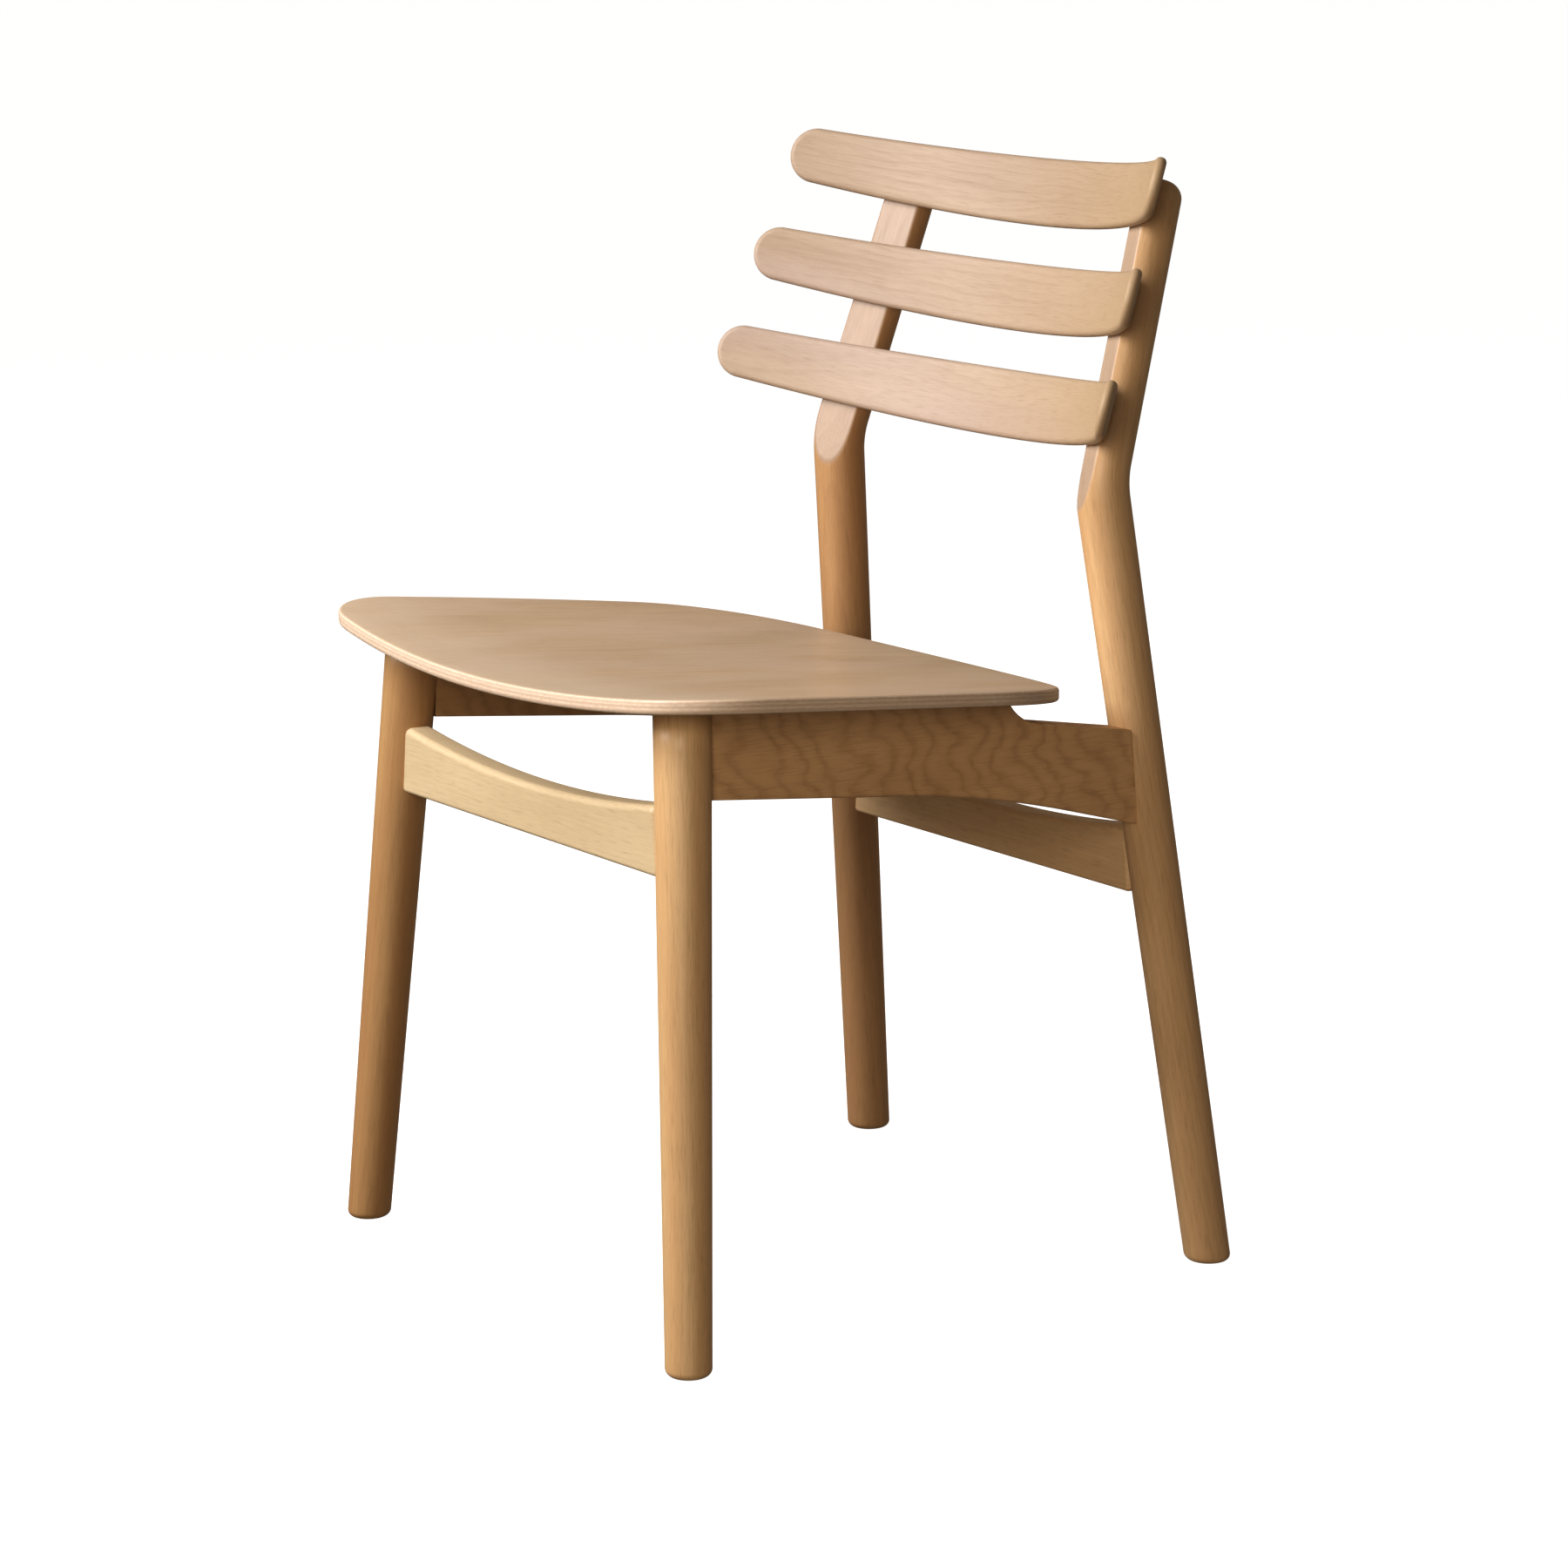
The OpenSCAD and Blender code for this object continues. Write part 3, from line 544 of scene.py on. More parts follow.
def steel(name):
    """Zinc-plated steel with fine turning marks and slight tarnish."""
    t = Tree(name)
    at = t.place()
    marks = t.noise(at, (900.0, 900.0, 3200.0), 2.0, 0.6)
    tarnish = t.noise(at, (160.0, 160.0, 160.0), 3.0, 0.6)
    colour = t.mix(t.math("MULTIPLY", tarnish, 0.8), (0.62, 0.63, 0.64), (0.38, 0.37, 0.35))
    t.bump(marks, 0.00006, 0.4)
    return t.finish(Base_Color=colour, Metallic=1.0, Roughness=t.math("MULTIPLY_ADD", tarnish, 0.25, 0.22))


def nylon(name):
    """Off-white glide plastic, scuffed grey where it slides."""
    t = Tree(name)
    at = t.place()
    scuff = t.ramp(t.noise(at, (500.0, 70.0, 200.0), 3.0, 0.7), [(0.45, 0.0), (0.75, 1.0)])
    colour = t.mix(t.math("MULTIPLY", scuff, 0.5), (0.72, 0.70, 0.65), (0.42, 0.40, 0.36))
    t.bump(t.noise(at, (1500.0, 1500.0, 1500.0), 2.0), 0.00005, 0.3)
    return t.finish(Base_Color=colour, Roughness=t.math("MULTIPLY_ADD", scuff, 0.2, 0.45))


LEG_LIGHT, LEG_DARK, DEEP = (0.77, 0.515, 0.260), (0.52, 0.310, 0.135), (0.20, 0.105, 0.045)
# painted shade: a darker copy of the leg tones, for the far (right) front leg
PAINTED_SHADE_LEG_LIGHT, PAINTED_SHADE_LEG_DARK = (0.50, 0.290, 0.118), (0.32, 0.168, 0.066)
POST_LIGHT, POST_DARK = (0.745, 0.485, 0.245), (0.50, 0.295, 0.134)
# painted shade: a darker copy of the post tones, for the far (right) rear post, standing in for the seat's
# shadow and the dimmer light on it
PAINTED_SHADE_POST_LIGHT, PAINTED_SHADE_POST_DARK = (0.56, 0.325, 0.148), (0.35, 0.185, 0.078)
LEG_RED, PAINTED_SHADE_LEG_RED = (0.60, 0.345, 0.155), (0.38, 0.185, 0.072)
POST_RED, PAINTED_SHADE_POST_RED = (0.59, 0.340, 0.155), (0.40, 0.205, 0.088)
# the rear stretcher's tones: redder than the front one's, and brighter as painted light for the light that
# reaches it under the seat
PAINTED_LIGHT_REAR_BAR_LIGHT, PAINTED_LIGHT_REAR_BAR_DARK = (0.86, 0.600, 0.330), (0.64, 0.400, 0.190)
RAIL_LIGHT, RAIL_DARK = (0.70, 0.425, 0.200), (0.38, 0.200, 0.080)
# painted shade: a darker copy of the rail tones, for the far (right) side rail, standing in for the shade
# under the seat
PAINTED_SHADE_FAR_RAIL_LIGHT, PAINTED_SHADE_FAR_RAIL_DARK = (0.46, 0.265, 0.120), (0.25, 0.125, 0.050)
BAR_LIGHT, BAR_DARK = (0.65, 0.520, 0.320), (0.50, 0.370, 0.210)
SLAT_LIGHT, SLAT_DARK = (0.46, 0.345, 0.250), (0.30, 0.205, 0.135)
SLAT_BLUSH, SLAT_HONEY = (0.44, 0.330, 0.272), (0.44, 0.305, 0.165)
# the posts' planed flats: their own pinkish tone, darkened as painted shade from the slats in front of them;
# the far post's copy is darker still, more painted shade
PLANED_TONE_AND_SHADE_LIGHT, PLANED_TONE_AND_SHADE_DARK = (0.45, 0.355, 0.285), (0.33, 0.245, 0.190)
PAINTED_SHADE_FAR_PLANED_LIGHT, PAINTED_SHADE_FAR_PLANED_DARK = (0.385, 0.290, 0.220), (0.29, 0.200, 0.145)
# painted light: a lighter copy of the slat tones, for the bottom slat, standing in for the more light on it
PAINTED_LIGHT_SLAT_LIGHT, PAINTED_LIGHT_SLAT_DARK = (0.50, 0.385, 0.290), (0.33, 0.235, 0.165)
SEAT_LIGHT, SEAT_DARK, SEAT_BLUSH = (0.63, 0.470, 0.305), (0.43, 0.295, 0.180), (0.58, 0.430, 0.315)
# painted sheen: a paler, greyer tone that the seat's face takes towards its front edge
SEAT_PAINTED_SHEEN = (0.72, 0.580, 0.430)
EDGE_LIGHT, EDGE_DARK, GLUE_LINE = (0.82, 0.670, 0.530), (0.68, 0.510, 0.380), (0.36, 0.230, 0.150)

ROUND_FIGURE = dict(blush_share=0.5, patch_scale=(2.2, 46.0, 46.0))
LEG_FIGURE = dict(rings=0.0036, ring_share=0.30, heart=(0.06, 0.02), **ROUND_FIGURE)
POST_FIGURE = dict(rings=0.0033, ring_share=0.30, heart=(0.03, 0.055), **ROUND_FIGURE)
leg_wood = wood("leg_wood", LEG_LIGHT, LEG_DARK, DEEP, blush=LEG_RED, **LEG_FIGURE)
# painted shade: the far front leg's wood is a darker copy of the leg wood
painted_shade_leg_wood = wood("painted_shade_leg_wood", PAINTED_SHADE_LEG_LIGHT, PAINTED_SHADE_LEG_DARK, DEEP, blush=PAINTED_SHADE_LEG_RED, **LEG_FIGURE)
post_wood = wood("post_wood", POST_LIGHT, POST_DARK, DEEP, blush=POST_RED, shaved=(PLANED_TONE_AND_SHADE_LIGHT, PLANED_TONE_AND_SHADE_DARK),
                 **POST_FIGURE)
# painted shade: the far rear post's wood is a darker copy of the post wood
painted_shade_post_wood = wood("painted_shade_post_wood", PAINTED_SHADE_POST_LIGHT, PAINTED_SHADE_POST_DARK, DEEP, blush=PAINTED_SHADE_POST_RED,
                     shaved=(PAINTED_SHADE_FAR_PLANED_LIGHT, PAINTED_SHADE_FAR_PLANED_DARK), **POST_FIGURE)
bar_wood = wood("bar_wood", BAR_LIGHT, BAR_DARK, DEEP, rings=0.0040, ring_share=0.22, heart=(0.09, 0.05))
# painted light: the rear stretcher's wood is a brighter copy of the stretcher wood
painted_light_rear_bar_wood = wood("painted_light_rear_bar_wood", PAINTED_LIGHT_REAR_BAR_LIGHT, PAINTED_LIGHT_REAR_BAR_DARK, DEEP, rings=0.0040, ring_share=0.25,
                     heart=(0.09, 0.05))
RAIL_FIGURE = dict(rings=0.0210, ring_share=0.52, curl=1.0, fibre_share=0.16, mottle_share=0.3)
rail_wood = wood("rail_wood", RAIL_LIGHT, RAIL_DARK, DEEP, **RAIL_FIGURE)
# painted shade: the far side rail's wood is a darker copy of the rail wood
painted_shade_far_rail_wood = wood("painted_shade_far_rail_wood", PAINTED_SHADE_FAR_RAIL_LIGHT, PAINTED_SHADE_FAR_RAIL_DARK, DEEP, **RAIL_FIGURE)
SLAT_FIGURE = dict(rings=0.0045, ring_share=0.30, heart=(0.02, 0.035), drift=0.025, sway_by=0.034,
                   streak=(7.0, 4.0), fibre_share=0.22, mottle_share=0.5, rough=0.56, coat=0.03,
                   blush=SLAT_BLUSH, blush_share=0.7, honey=SLAT_HONEY)
slat_wood = wood("slat_wood", SLAT_LIGHT, SLAT_DARK, DEEP, **SLAT_FIGURE)
# painted light: the bottom slat's wood is a lighter copy of the slat wood
painted_light_slat_wood = wood("painted_light_slat_wood", PAINTED_LIGHT_SLAT_LIGHT, PAINTED_LIGHT_SLAT_DARK, DEEP, **SLAT_FIGURE)
seat_ply = plywood("seat_ply")

# ---------------------------------------------------------------- seat
front_c0 = np.array([0.0, FRONT_EDGE_R - SEAT_OVERHANG])
side_c0 = np.array([SEAT_WIDTH / 2 - SIDE_EDGE_R, WIDEST_Y])
rear_c0 = np.array([0.0, SEAT_LENGTH - SEAT_OVERHANG - REAR_EDGE_R])


def seat_loop():
    front_c = crossing(front_c0, FRONT_EDGE_R - FRONT_CORNER_R, side_c0, SIDE_EDGE_R - FRONT_CORNER_R, 1)
    rear_c = crossing(rear_c0, REAR_EDGE_R - REAR_CORNER_R, side_c0, SIDE_EDGE_R - REAR_CORNER_R, -1)
    a1, a2 = bearing(front_c0, front_c), bearing(side_c0, front_c)
    a3, a4 = bearing(side_c0, rear_c), bearing(rear_c0, rear_c)
    half = np.concatenate([
        arc(front_c0, FRONT_EDGE_R, -90, a1, 26),
        arc(front_c, FRONT_CORNER_R, a1, a2, 30),
        arc(side_c0, SIDE_EDGE_R, a2, a3, 40),
        arc(rear_c, REAR_CORNER_R, a3, a4, 36),
        arc(rear_c0, REAR_EDGE_R, a4, 90, 20),
    ])
    return tidy_loop(np.concatenate([half, half[::-1] * [-1.0, 1.0]]))


def seat_z(x, y, depth):
    """Height of the surface that lies depth below the seat's top face, at a place in plan."""
    tilt = rad(SEAT_TILT)
    z = SEAT_DISH_R - np.sqrt((SEAT_DISH_R + depth) ** 2 - np.asarray(x) ** 2)
    back = (np.asarray(y) + SEAT_OVERHANG - z * sin(tilt)) / cos(tilt)
    return SEAT_HEIGHT - back * sin(tilt) + z * cos(tilt)


seat_middle = np.array([0.0, 165.0])
seat_shares = [0.04, 0.12] + [i / 12 for i in range(3, 12)]
verts, faces = radial_plate(seat_loop(), SEAT_EDGE_R, SEAT_T, seat_middle, seat_shares)
plan, depth = verts[:, :2], verts[:, 2]
solid = np.column_stack([plan, seat_z(plan[:, 0], plan[:, 1], depth)])
grain = np.column_stack([plan[:, 1], plan[:, 0], -depth])
piece("seat", solid, faces, grain, seat_ply, ["seat_shell"], "seat_plywood", ply_depth=depth * MM)


# ---------------------------------------------------------------- front legs
def foot_stations():
    """(height, inset) up the rounded edge of a foot."""
    angles = [pi / 2 * k / 7 for k in range(8)]
    return [(FOOT_Z + FOOT_ROUND * (1 - cos(a)), FOOT_ROUND * (1 - sin(a))) for a in angles]


def front_leg_grid(around=72):
    """Rings of the left front leg up to the seat, and each vertex's place in the wood."""
    e1, e2, e3 = leg_axes(FRONT_PLANE_RAKE)
    length = SEAT_HEIGHT / cos(S) / cos(FRONT_PLANE_RAKE)
    theta = np.linspace(0, 2 * pi, around, endpoint=False)
    way = np.outer(np.cos(theta), e1) + np.outer(np.sin(theta), e2)
    foot = np.array([*FRONT_FOOT, 0.0])
    stations = foot_stations()
    stations += [(h, 0.0) for h in np.linspace(stations[-1][0] + 6, 425, 44)]
    rows, places = [], []
    for h, inset in stations + [(None, 0.0)]:
        goal = np.full(around, 436.0 if h is None else h)
        for _ in range(6):
            radius = FRONT_FOOT_R + (FRONT_TOP_R - FRONT_FOOT_R) * (goal / e3[2]) / length - inset
            along = (goal - radius * way[:, 2]) / e3[2]
            points = foot + np.outer(along, e3) + way * radius[:, None]
            if h is not None:
                break
            goal = seat_z(points[:, 0], points[:, 1], SEAT_T - LEG_LAP)
        rows.append(points)
        places.append(np.column_stack([along, radius * np.cos(theta), radius * np.sin(theta)]))
    return np.array(rows), np.array(places)


def with_caps(places):
    """Places in the wood for a tube's rings and its two end points."""
    flat = places.reshape(-1, 3)
    return np.concatenate([flat, [places[0].mean(0)], [places[-1].mean(0)]])


grid, places = front_leg_grid()
for side, shift in (("left", (0, 0, 0)), ("right", (900, 31, 17))):
    verts, faces = tube(grid)
    verts = verts if side == "left" else mirrored(verts)
    # the far front leg takes the darker copy of the leg wood: painted shade
    tone = leg_wood if side == "left" else painted_shade_leg_wood
    piece(f"front_leg_{side}_round", verts, faces, with_caps(places) + shift, tone, [f"front_leg_{side}"],
          "frame_wood")


# ---------------------------------------------------------------- rear posts
def post_grid(flat_steps=26, arc_steps=74):
    """Rings of the left rear post, each vertex's place in the wood, and how far it is shaved, 0 to 1."""
    bend = PLANE_RAKE + PLANE_LEAN
    run = BEND_ROUND * tan(bend / 2)
    e1 = leg_axes(0.0)[0]
    up = np.array([-sin(S), 0.0, cos(S)])
    back = np.array([0.0, 1.0, 0.0])
    foot = np.array([*REAR_FOOT, 0.0])
    low_end, arc_length = LOWER_LENGTH - run, BEND_ROUND * bend
    total = low_end + arc_length + UPPER_LENGTH - run
    low_way = np.array([-sin(PLANE_RAKE), cos(PLANE_RAKE)])
    corner = low_way * LOWER_LENGTH

    def centre(s):
        """Place in the post's plane (backward, up) and its lean at length s along it."""
        if s <= low_end:
            return low_way * s, -PLANE_RAKE
        if s >= low_end + arc_length:
            way = np.array([sin(PLANE_LEAN), cos(PLANE_LEAN)])
            return corner + way * (run + s - low_end - arc_length), PLANE_LEAN
        lean = -PLANE_RAKE + (s - low_end) / BEND_ROUND
        hub = low_way * low_end + BEND_ROUND * np.array([cos(PLANE_RAKE), sin(PLANE_RAKE)])
        return hub - BEND_ROUND * np.array([cos(lean), -sin(lean)]), lean

    upper_back = back * cos(PLANE_LEAN) - up * sin(PLANE_LEAN)
    normal = -sin(rad(FLAT_TURN)) * e1 - cos(rad(FLAT_TURN)) * upper_back
    bend_point = foot + back * corner[0] + up * corner[1]
    stations = [(h, inset, True) for h, inset in foot_stations()]
    body = list(np.arange(stations[-1][0] + 6, low_end - 60, 10.0))
    body += list(np.arange(low_end - 60, low_end + arc_length + 12, 0.75))
    body += list(np.arange(low_end + arc_length + 12, total - POST_TOP_ROUND, 5.0))
    stations += [(s, 0.0, False) for s in body]
    for k in range(0, 11):
        a = pi / 2 * k / 10
        stations.append((total - POST_TOP_ROUND * (1 - sin(a)), POST_TOP_ROUND * (1 - cos(a)), False))
    rows, places, shaved = [], [], []
    for s, inset, at_foot in stations:
        place, lean = centre(s)
        c = foot + back * place[0] + up * place[1]
        e2 = back * cos(lean) - up * sin(lean)
        e3 = back * sin(lean) + up * cos(lean)
        mid_bend = low_end + arc_length / 2
        if s < mid_bend:
            radius = REAR_FOOT_R + (BEND_R - REAR_FOOT_R) * s / mid_bend
        else:
            radius = BEND_R + (POST_TOP_R - BEND_R) * (s - mid_bend) / (total - mid_bend)
        radius -= inset
        a, b = float(normal @ e1), float(normal @ e2)
        middle, reach = math.atan2(b, a), math.hypot(a, b)
        share = (FLAT_DEPTH - float((c - bend_point) @ normal)) / (radius * reach)
        half = max(math.acos(max(-1.0, min(1.0, share))), 0.16)
        # vertices crowd towards the flat's edges
        t = np.linspace(-1, 1, flat_steps + 1)
        t = 0.55 * t + 0.45 * np.sin(t * pi / 2)
        flat_angles = middle + half * t
        u = np.linspace(0, 1, arc_steps + 1)[1:-1]
        u = 0.5 * u + 0.5 * (1 - np.cos(u * pi)) / 2
        theta = np.concatenate([flat_angles, middle + half + (2 * pi - 2 * half) * u])
        way = np.outer(np.cos(theta), e1) + np.outer(np.sin(theta), e2)
        level = 1.0 if at_foot else max(0.0, 1 - s / 300.0)
        plane = unit(level * np.array([0.0, 0.0, 1.0]) + (1 - level) * e3)
        slip = -radius * (way @ plane) / float(e3 @ plane)
        points = c + way * radius + np.outer(slip, e3)
        if at_foot:
            points += np.outer((s - points[:, 2]) / e3[2], e3)
        over = (points - bend_point) @ normal - FLAT_DEPTH
        blend = np.maximum(FLAT_SOFT - np.abs(over), 0.0) / FLAT_SOFT
        cut = over - (np.minimum(over, 0.0) - blend * blend * FLAT_SOFT / 4)
        points = points - np.outer(cut, normal)
        off = points - c
        rows.append(points)
        places.append(np.column_stack([np.full(len(theta), s) + slip, off @ e1, off @ e2]))
        shaved.append(np.clip(cut / FLAT_FEATHER, 0, 1))
    shaved = np.concatenate(shaved + [[0.0, 0.0]])
    return np.array(rows), np.array(places), shaved


grid, places, shaved = post_grid()
for side, shift in (("left", (1700, 11, 5)), ("right", (2600, 43, 29))):
    verts, faces = tube(grid)
    verts = verts if side == "left" else mirrored(verts)
    # the far rear post takes the darker copy of the post wood: painted shade
    tone = post_wood if side == "left" else painted_shade_post_wood
    piece(f"rear_post_{side}_bent", verts, faces, with_caps(places) + shift, tone, [f"rear_post_{side}"],
          "frame_wood", shaved=shaved)

# ---------------------------------------------------------------- slats
slat_inset = FLAT_DEPTH / cos(rad(FLAT_TURN)) - SLAT_LET_IN + SLAT_T / 2


def slat_z(i):
    """Height of slat i's middle above the bend, along the back."""
    return SLAT_FIRST + SLAT_PITCH * i


def slat_front(i):
    """How far slat i's middle lies forward of the posts' plane, so that its ends meet their flats."""
    x = REAR_FOOT[0] - tan(S) * (BEND_HEIGHT + cos(rad(BACK_LEAN)) * slat_z(i))
    return slat_inset - SLAT_BEND_R * (1 - cos(math.asin(x / SLAT_BEND_R)))


def slat_loop(i):
    """Outline of slat i unrolled: (along the bend, up), starting at the left tip."""
    reach = SLAT_REACH - SLAT_REACH_STEP * i
    cap_u = reach - SLAT_H / 2.4
    cap_x = SLAT_BEND_R * sin(cap_u / SLAT_BEND_R)
    rise = SLAT_H / 2 - cap_x * cap_x / (2 * SLAT_TOP_EDGE_R)
    drop = SLAT_H / 2 - cap_x * cap_x / (2 * SLAT_BOTTOM_EDGE_R)
    r, zc = (rise + drop) / 2, (rise - drop) / 2
    centre_u = reach - r
    quarter = arc((centre_u, zc), r, 0, 90, 22)
    u = np.linspace(centre_u, -centre_u, 82)[1:-1]
    x = SLAT_BEND_R * np.sin(u / SLAT_BEND_R)
    edge_x = SLAT_BEND_R * sin(centre_u / SLAT_BEND_R)
    scale = (SLAT_H / 2 - (zc + r)) / (edge_x * edge_x)
    top = np.column_stack([u, SLAT_H / 2 - scale * x * x])
    upper = np.concatenate([quarter, top, arc((-centre_u, zc), r, 90, 180, 22)])
    low_scale = (SLAT_H / 2 + (zc - r)) / (edge_x * edge_x)
    low_quarter = arc((centre_u, zc), r, 0, -90, 22)
    bottom = np.column_stack([u, -SLAT_H / 2 + low_scale * x * x])
    lower = np.concatenate([low_quarter, bottom, arc((-centre_u, zc), r, -90, -180, 22)])
    return np.concatenate([upper, lower[-2:0:-1]])


for i, name in enumerate(("bottom", "middle", "top")):
    verts, faces = paired_plate(slat_loop(i), SLAT_EDGE_R, SLAT_T)
    angle = verts[:, 0] / SLAT_BEND_R
    # the back comes a little forward towards the tips
    thin = 1 - SLAT_THIN * np.clip((np.abs(verts[:, 0]) - 190.0) / 70.0, 0, 1) ** 2
    radial = SLAT_BEND_R - SLAT_T / 2 + verts[:, 2] * thin
    x = radial * np.sin(angle)
    y = -slat_front(i) - SLAT_BEND_R + radial * np.cos(angle)
    z = slat_z(i) + verts[:, 1]
    lean = rad(BACK_LEAN)
    back, up = BEND_Y + y * cos(lean) + z * sin(lean), BEND_HEIGHT - y * sin(lean) + z * cos(lean)
    solid = np.column_stack([x, back, up])
    grain = verts + [700.0 * i, 40.0 * i, 13.0 * i]
    # the bottom slat takes the lighter copy of the slat wood: painted light
    tone = painted_light_slat_wood if name == "bottom" else slat_wood
    piece(f"slat_{name}_curved", solid, faces, grain, tone, [f"backrest_slat_{name}"], "slat_wood",
          along=0.5 + verts[:, 0] / (2 * SLAT_REACH))


# ---------------------------------------------------------------- side rails
def shoulder_y(foot, lean, shoulder, z):
    """Where a rail's end meets a leg, at height z."""
    e2 = leg_axes(lean)[1]
    return foot[1] + (shoulder - (RAIL_X - foot[0]) * e2[0] - z * e2[2]) / e2[1]


def rail_loop():
    """Outline of a side rail seen from the side, and the y of its corners: front low, rear low, rear top
    and front top."""
    slope, heel_slope = rad(RAIL_BOTTOM_SLOPE), rad(RAIL_HEEL_SLOPE)
    run = RAIL_HEEL_R * tan((heel_slope - slope) / 2)
    heel = np.array([RAIL_HEEL_Y, RAIL_BOTTOM_Z - tan(slope) * RAIL_HEEL_Y])
    start = heel - run * np.array([cos(slope), -sin(slope)])
    turn_c = start - RAIL_HEEL_R * np.array([sin(slope), cos(slope)])
    bottom_arc = arc(turn_c, RAIL_HEEL_R, 90 - RAIL_BOTTOM_SLOPE, 90 - RAIL_HEEL_SLOPE, 12)

    def bottom_z(y):
        return heel[1] - tan(heel_slope) * (y - heel[0]) if y > heel[0] else RAIL_BOTTOM_Z - tan(slope) * y

    def step_z(y):
        return RAIL_STEP_Z - tan(rad(RAIL_STEP_SLOPE)) * (y - RAIL_STEP_Y)

    def at_front(z_of):
        y = 20.0
        for _ in range(4):
            y = shoulder_y(FRONT_FOOT, FRONT_PLANE_RAKE, FRONT_SHOULDER - SUNK, z_of(y))
        return y

    def at_rear(z_of):
        y = 400.0
        for _ in range(4):
            y = shoulder_y(REAR_FOOT, -PLANE_RAKE, SUNK - REAR_SHOULDER, z_of(y))
        return y

    def under(y):
        return float(seat_z(RAIL_X, y, SEAT_T + RAIL_GAP))

    y0, y1, y2, y3 = at_front(bottom_z), at_rear(bottom_z), at_rear(step_z), at_front(under)
    step_c = (RAIL_STEP_Y, RAIL_STEP_Z + RAIL_STEP_R)
    top_y = RAIL_STEP_Y - RAIL_STEP_R
    for _ in range(8):
        top_y = step_c[0] - math.sqrt(RAIL_STEP_R**2 - (step_c[1] - under(top_y)) ** 2)
    cove = arc(step_c, RAIL_STEP_R, -90 - RAIL_STEP_SLOPE / 2, bearing(step_c, (top_y, under(top_y))), 18)
    corners = [(y0, bottom_z(y0), 0)]
    corners += [(p[0], p[1], 0) for p in bottom_arc]
    corners += [(y1, bottom_z(y1), 0), (y2, step_z(y2), 0)]
    corners += [(p[0], p[1], 0) for p in cove]
    corners += [(y, under(y), 0) for y in np.linspace(top_y - 12, y3 + 12, 16)]
    corners += [(y3, under(y3), 0)]
    return counter_clockwise(rounded_corners(corners)), (y0, y1, y2, y3)


loop, ends_y = rail_loop()
top_edge = seat_z(RAIL_X, loop[:, 0], SEAT_T) - loop[:, 1] < 1.5
at_ends = (loop[:, 0] < max(ends_y[0], ends_y[3]) + 0.5) | (loop[:, 0] > min(ends_y[1], ends_y[2]) - 0.5)
in_cove = (np.abs(loop[:, 0] - RAIL_STEP_Y + 15.0) < 20.0) & (loop[:, 1] > RAIL_STEP_Z - 1.0)
radius = np.where(at_ends, RAIL_END_EDGE_R, np.where(top_edge | in_cove, RAIL_CRISP_EDGE_R, RAIL_EDGE_R))
verts, faces = slab(loop, radius, RAIL_T)
solid = np.column_stack([RAIL_X - RAIL_T / 2 + verts[:, 2], verts[:, 0], verts[:, 1]])
for side, shift in (("left", (0, 0, 0)), ("right", (500, 90, 60))):
    place = solid if side == "left" else mirrored(solid)
    grain = np.column_stack([verts[:, 0], verts[:, 1], verts[:, 2]]) + shift
    # the far side rail takes the darker copy of the rail wood: painted shade
    tone = rail_wood if side == "left" else painted_shade_far_rail_wood
    piece(f"side_rail_{side}_shaped", place, faces, grain, tone, [f"side_rail_{side}"], "rail_wood",
          weighted=True)


# ---------------------------------------------------------------- stretchers
def stretcher(name, foot, lean, bottom, shoulder, shift, material):
    """A rail between two legs: straight below, hollow above, its lower edge at height bottom."""
    axis = leg_axes(lean)[2]
    mid_z = bottom + STRETCHER_H / 2
    mid = foot[1] + axis[1] / axis[2] * mid_z

    def end_x(z):
        return foot[0] - (shoulder + z * sin(S)) / cos(S)

    x0 = end_x(bottom)
    top = bottom + STRETCHER_H
    x1 = x0
    for _ in range(4):
        z1 = top + STRETCHER_TOP_R - math.sqrt(STRETCHER_TOP_R**2 - x1 * x1)
        x1 = end_x(z1)
    xs = np.linspace(x1, -x1, 34)[1:-1]
    corners = [(-x0, bottom, STRETCHER_CORNER_R), (0.0, bottom, 0), (x0, bottom, STRETCHER_CORNER_R)]
    corners += [(x1, z1, STRETCHER_TOP_CORNER_R)]
    corners += [(x, top + STRETCHER_TOP_R - math.sqrt(STRETCHER_TOP_R**2 - x * x), 0) for x in xs]
    corners += [(-x1, z1, STRETCHER_TOP_CORNER_R)]
    loop = counter_clockwise(rounded_corners(corners))
    height = (loop[:, 1] - bottom) / STRETCHER_H
    radius = np.where(height > 0.7, STRETCHER_TOP_ROUND, STRETCHER_EDGE_R)
    for _ in range(3):
        radius = (np.roll(radius, 1) + radius + np.roll(radius, -1)) / 3
    verts, faces = slab(loop, radius, RAIL_T, steps=6)
    solid = np.column_stack([verts[:, 0], mid - RAIL_T / 2 + verts[:, 2], verts[:, 1]])
    piece(f"{name}_shaped", solid, faces, verts + shift, material, [name], "frame_wood", weighted=True)


stretcher("front_stretcher", FRONT_FOOT, FRONT_PLANE_RAKE, FRONT_STRETCHER_Z, FRONT_SHOULDER, (0, 0, 0),
          bar_wood)
stretcher("rear_stretcher", REAR_FOOT, -PLANE_RAKE, REAR_STRETCHER_Z, REAR_SHOULDER, (800, 55, 20),
          painted_light_rear_bar_wood)

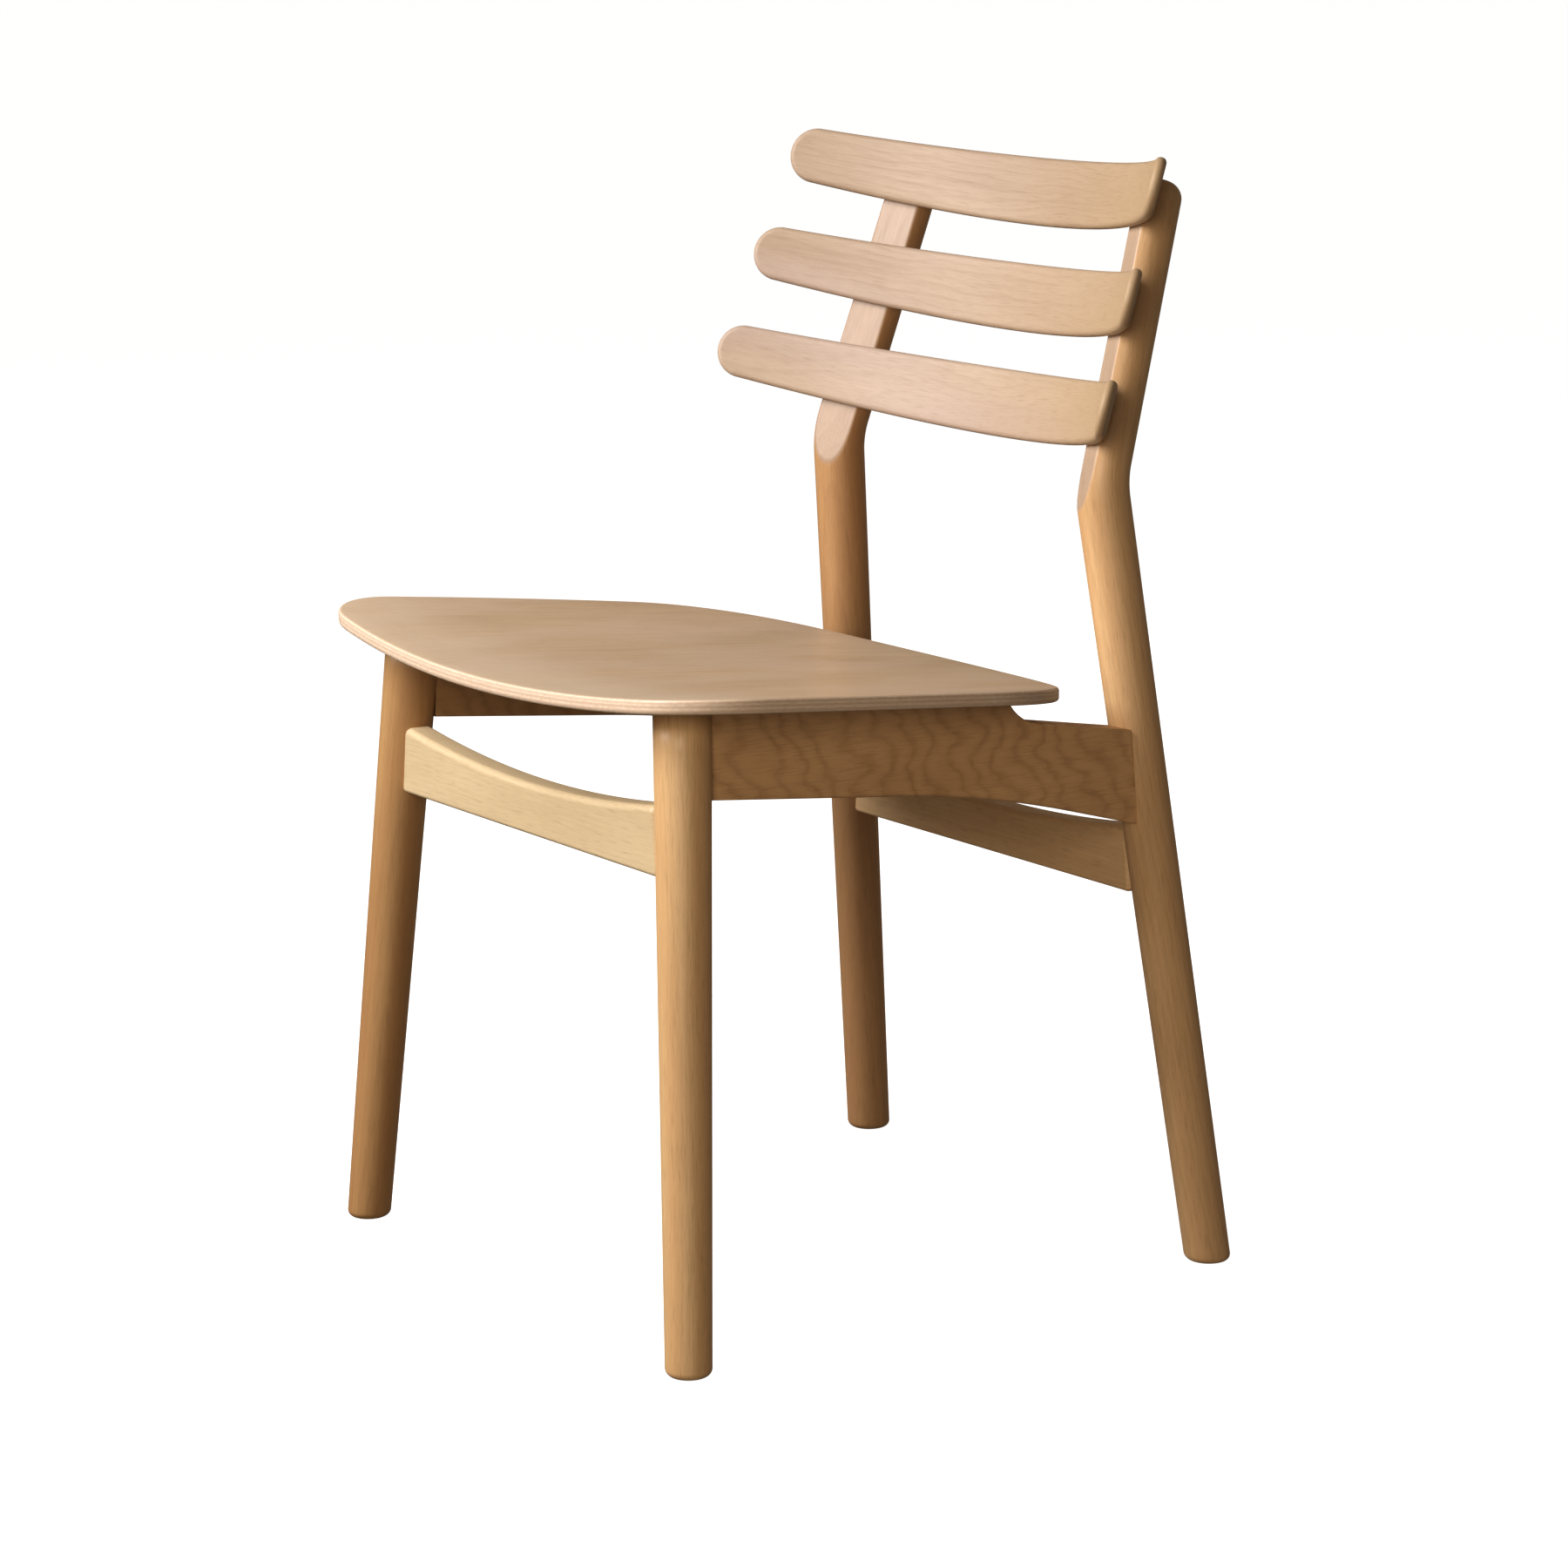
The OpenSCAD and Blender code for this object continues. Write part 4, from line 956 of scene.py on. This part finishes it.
# ---------------------------------------------------------------- carried-over CAD pieces
plug_wood = plain_wood("plug_wood", BAR_LIGHT, LEG_DARK, 420.0)
dowel_wood = plain_wood("dowel_wood", BAR_LIGHT, BAR_DARK, 300.0)
cleat_wood = plain_wood("cleat_wood", LEG_LIGHT, LEG_DARK, 260.0)
screw_steel = steel("screw_steel")
glide_nylon = nylon("glide_nylon")
KEPT = {
    "seat_cleat_left": cleat_wood,
    "seat_cleat_right": cleat_wood,
    "stretcher_dowels": dowel_wood,
    "rail_dowels": dowel_wood,
    "slat_screw_plugs": plug_wood,
    "slat_screws": screw_steel,
    "cleat_screws": screw_steel,
    "seat_screws": screw_steel,
    "glide_nails": screw_steel,
    "foot_glides": glide_nylon,
}
for name, material in KEPT.items():
    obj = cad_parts[name]
    obj.data.materials.clear()
    obj.data.materials.append(material)

# ---------------------------------------------------------------- stage
scene = bpy.context.scene
# each light: its place and what it looks at, side in metres, power, colour, and whether it is mirrored. The
# back light isn't: its mirror image would be a glaring line where a slat's back is seen edge-on.
LIGHTS = {
    "key": ((-0.62, -1.70, 1.76), (0.0, 0.0, 0.45), 1.5, 86.0, (1.0, 0.96, 0.93), True),
    "fill": ((2.2, -2.1, 1.25), (0.0, 0.0, 0.4), 1.2, 32.0, (1.0, 0.83, 0.65), True),
    "back": ((-1.3, 2.8, 0.9), (0.0, 0.0, 0.5), 1.2, 28.0, (1.0, 0.93, 0.85), False),
}
AMBIENT, AMBIENT_COLOUR = 0.095, (1.0, 0.79, 0.61, 1.0)
FLOOR_SIZE, FLOOR_GLOW = 80.0, 0.96


def stage_floor():
    """A pale floor, far wider than the view. It throws no light on the object: that comes from the world."""
    mesh = bpy.data.meshes.new("studio_floor")
    size = FLOOR_SIZE
    corners = [(-size, -size, 0), (size, -size, 0), (size, size, 0), (-size, size, 0)]
    mesh.from_pydata(corners, [], [(0, 1, 2, 3)])
    obj = bpy.data.objects.new("studio_floor", mesh)
    scene.collection.objects.link(obj)
    t = Tree("studio_floor")
    tone = t.noise(t.place(), (3.0, 3.0, 3.0), 2.0)
    colour = t.mix(t.math("MULTIPLY", tone, 0.2), (0.50, 0.50, 0.50), (0.47, 0.47, 0.47))
    mesh.materials.append(t.finish(
        Base_Color=colour,
        Roughness=0.9,
        Specular_IOR_Level=0.0,
        Emission_Color=(1.0, 1.0, 1.0, 1.0),
        Emission_Strength=FLOOR_GLOW,
    ))
    obj.visible_diffuse = False
    obj.visible_glossy = False


def area_light(name, place, aim, size, power, colour, mirrored_too):
    data = bpy.data.lights.new(name, "AREA")
    data.shape = "RECTANGLE"
    data.size = data.size_y = size
    data.energy = power
    data.color = colour
    obj = bpy.data.objects.new(name, data)
    obj.location = place
    obj.rotation_euler = (Vector(aim) - Vector(place)).to_track_quat("-Z", "Y").to_euler()
    obj.visible_camera = False
    obj.visible_glossy = mirrored_too
    scene.collection.objects.link(obj)


stage_floor()
for name, values in LIGHTS.items():
    area_light(name, *values)

world = bpy.data.worlds.new("studio")
world.use_nodes = True
nodes, links = world.node_tree.nodes, world.node_tree.links
ambient = nodes["Background"]
ambient.inputs[0].default_value = AMBIENT_COLOUR
ambient.inputs[1].default_value = AMBIENT
backdrop = nodes.new("ShaderNodeBackground")
backdrop.inputs[0].default_value = (1.0, 1.0, 1.0, 1.0)
choice = nodes.new("ShaderNodeMixShader")
links.new(nodes.new("ShaderNodeLightPath").outputs["Is Camera Ray"], choice.inputs[0])
links.new(ambient.outputs[0], choice.inputs[1])
links.new(backdrop.outputs[0], choice.inputs[2])
links.new(choice.outputs[0], nodes["World Output"].inputs[0])
scene.world = world
scene.view_settings.view_transform = "Standard"

# ---------------------------------------------------------------- camera
# its place in the working frame in mm, its turn from looking along +y and its tilt downward in degrees,
# and its lens in mm
CAMERA_AT = (2672.33, -1569.24, 997.51)
CAMERA_YAW, CAMERA_PITCH, CAMERA_LENS = 56.083, 11.467, 103.66
camera = bpy.data.objects.new("camera", bpy.data.cameras.new("camera"))
camera.data.lens = CAMERA_LENS
camera.data.sensor_width = 36.0
camera.location = to_row(CAMERA_AT)
camera.rotation_euler = (rad(90 - CAMERA_PITCH), 0.0, rad(CAMERA_YAW))
scene.collection.objects.link(camera)
scene.camera = camera
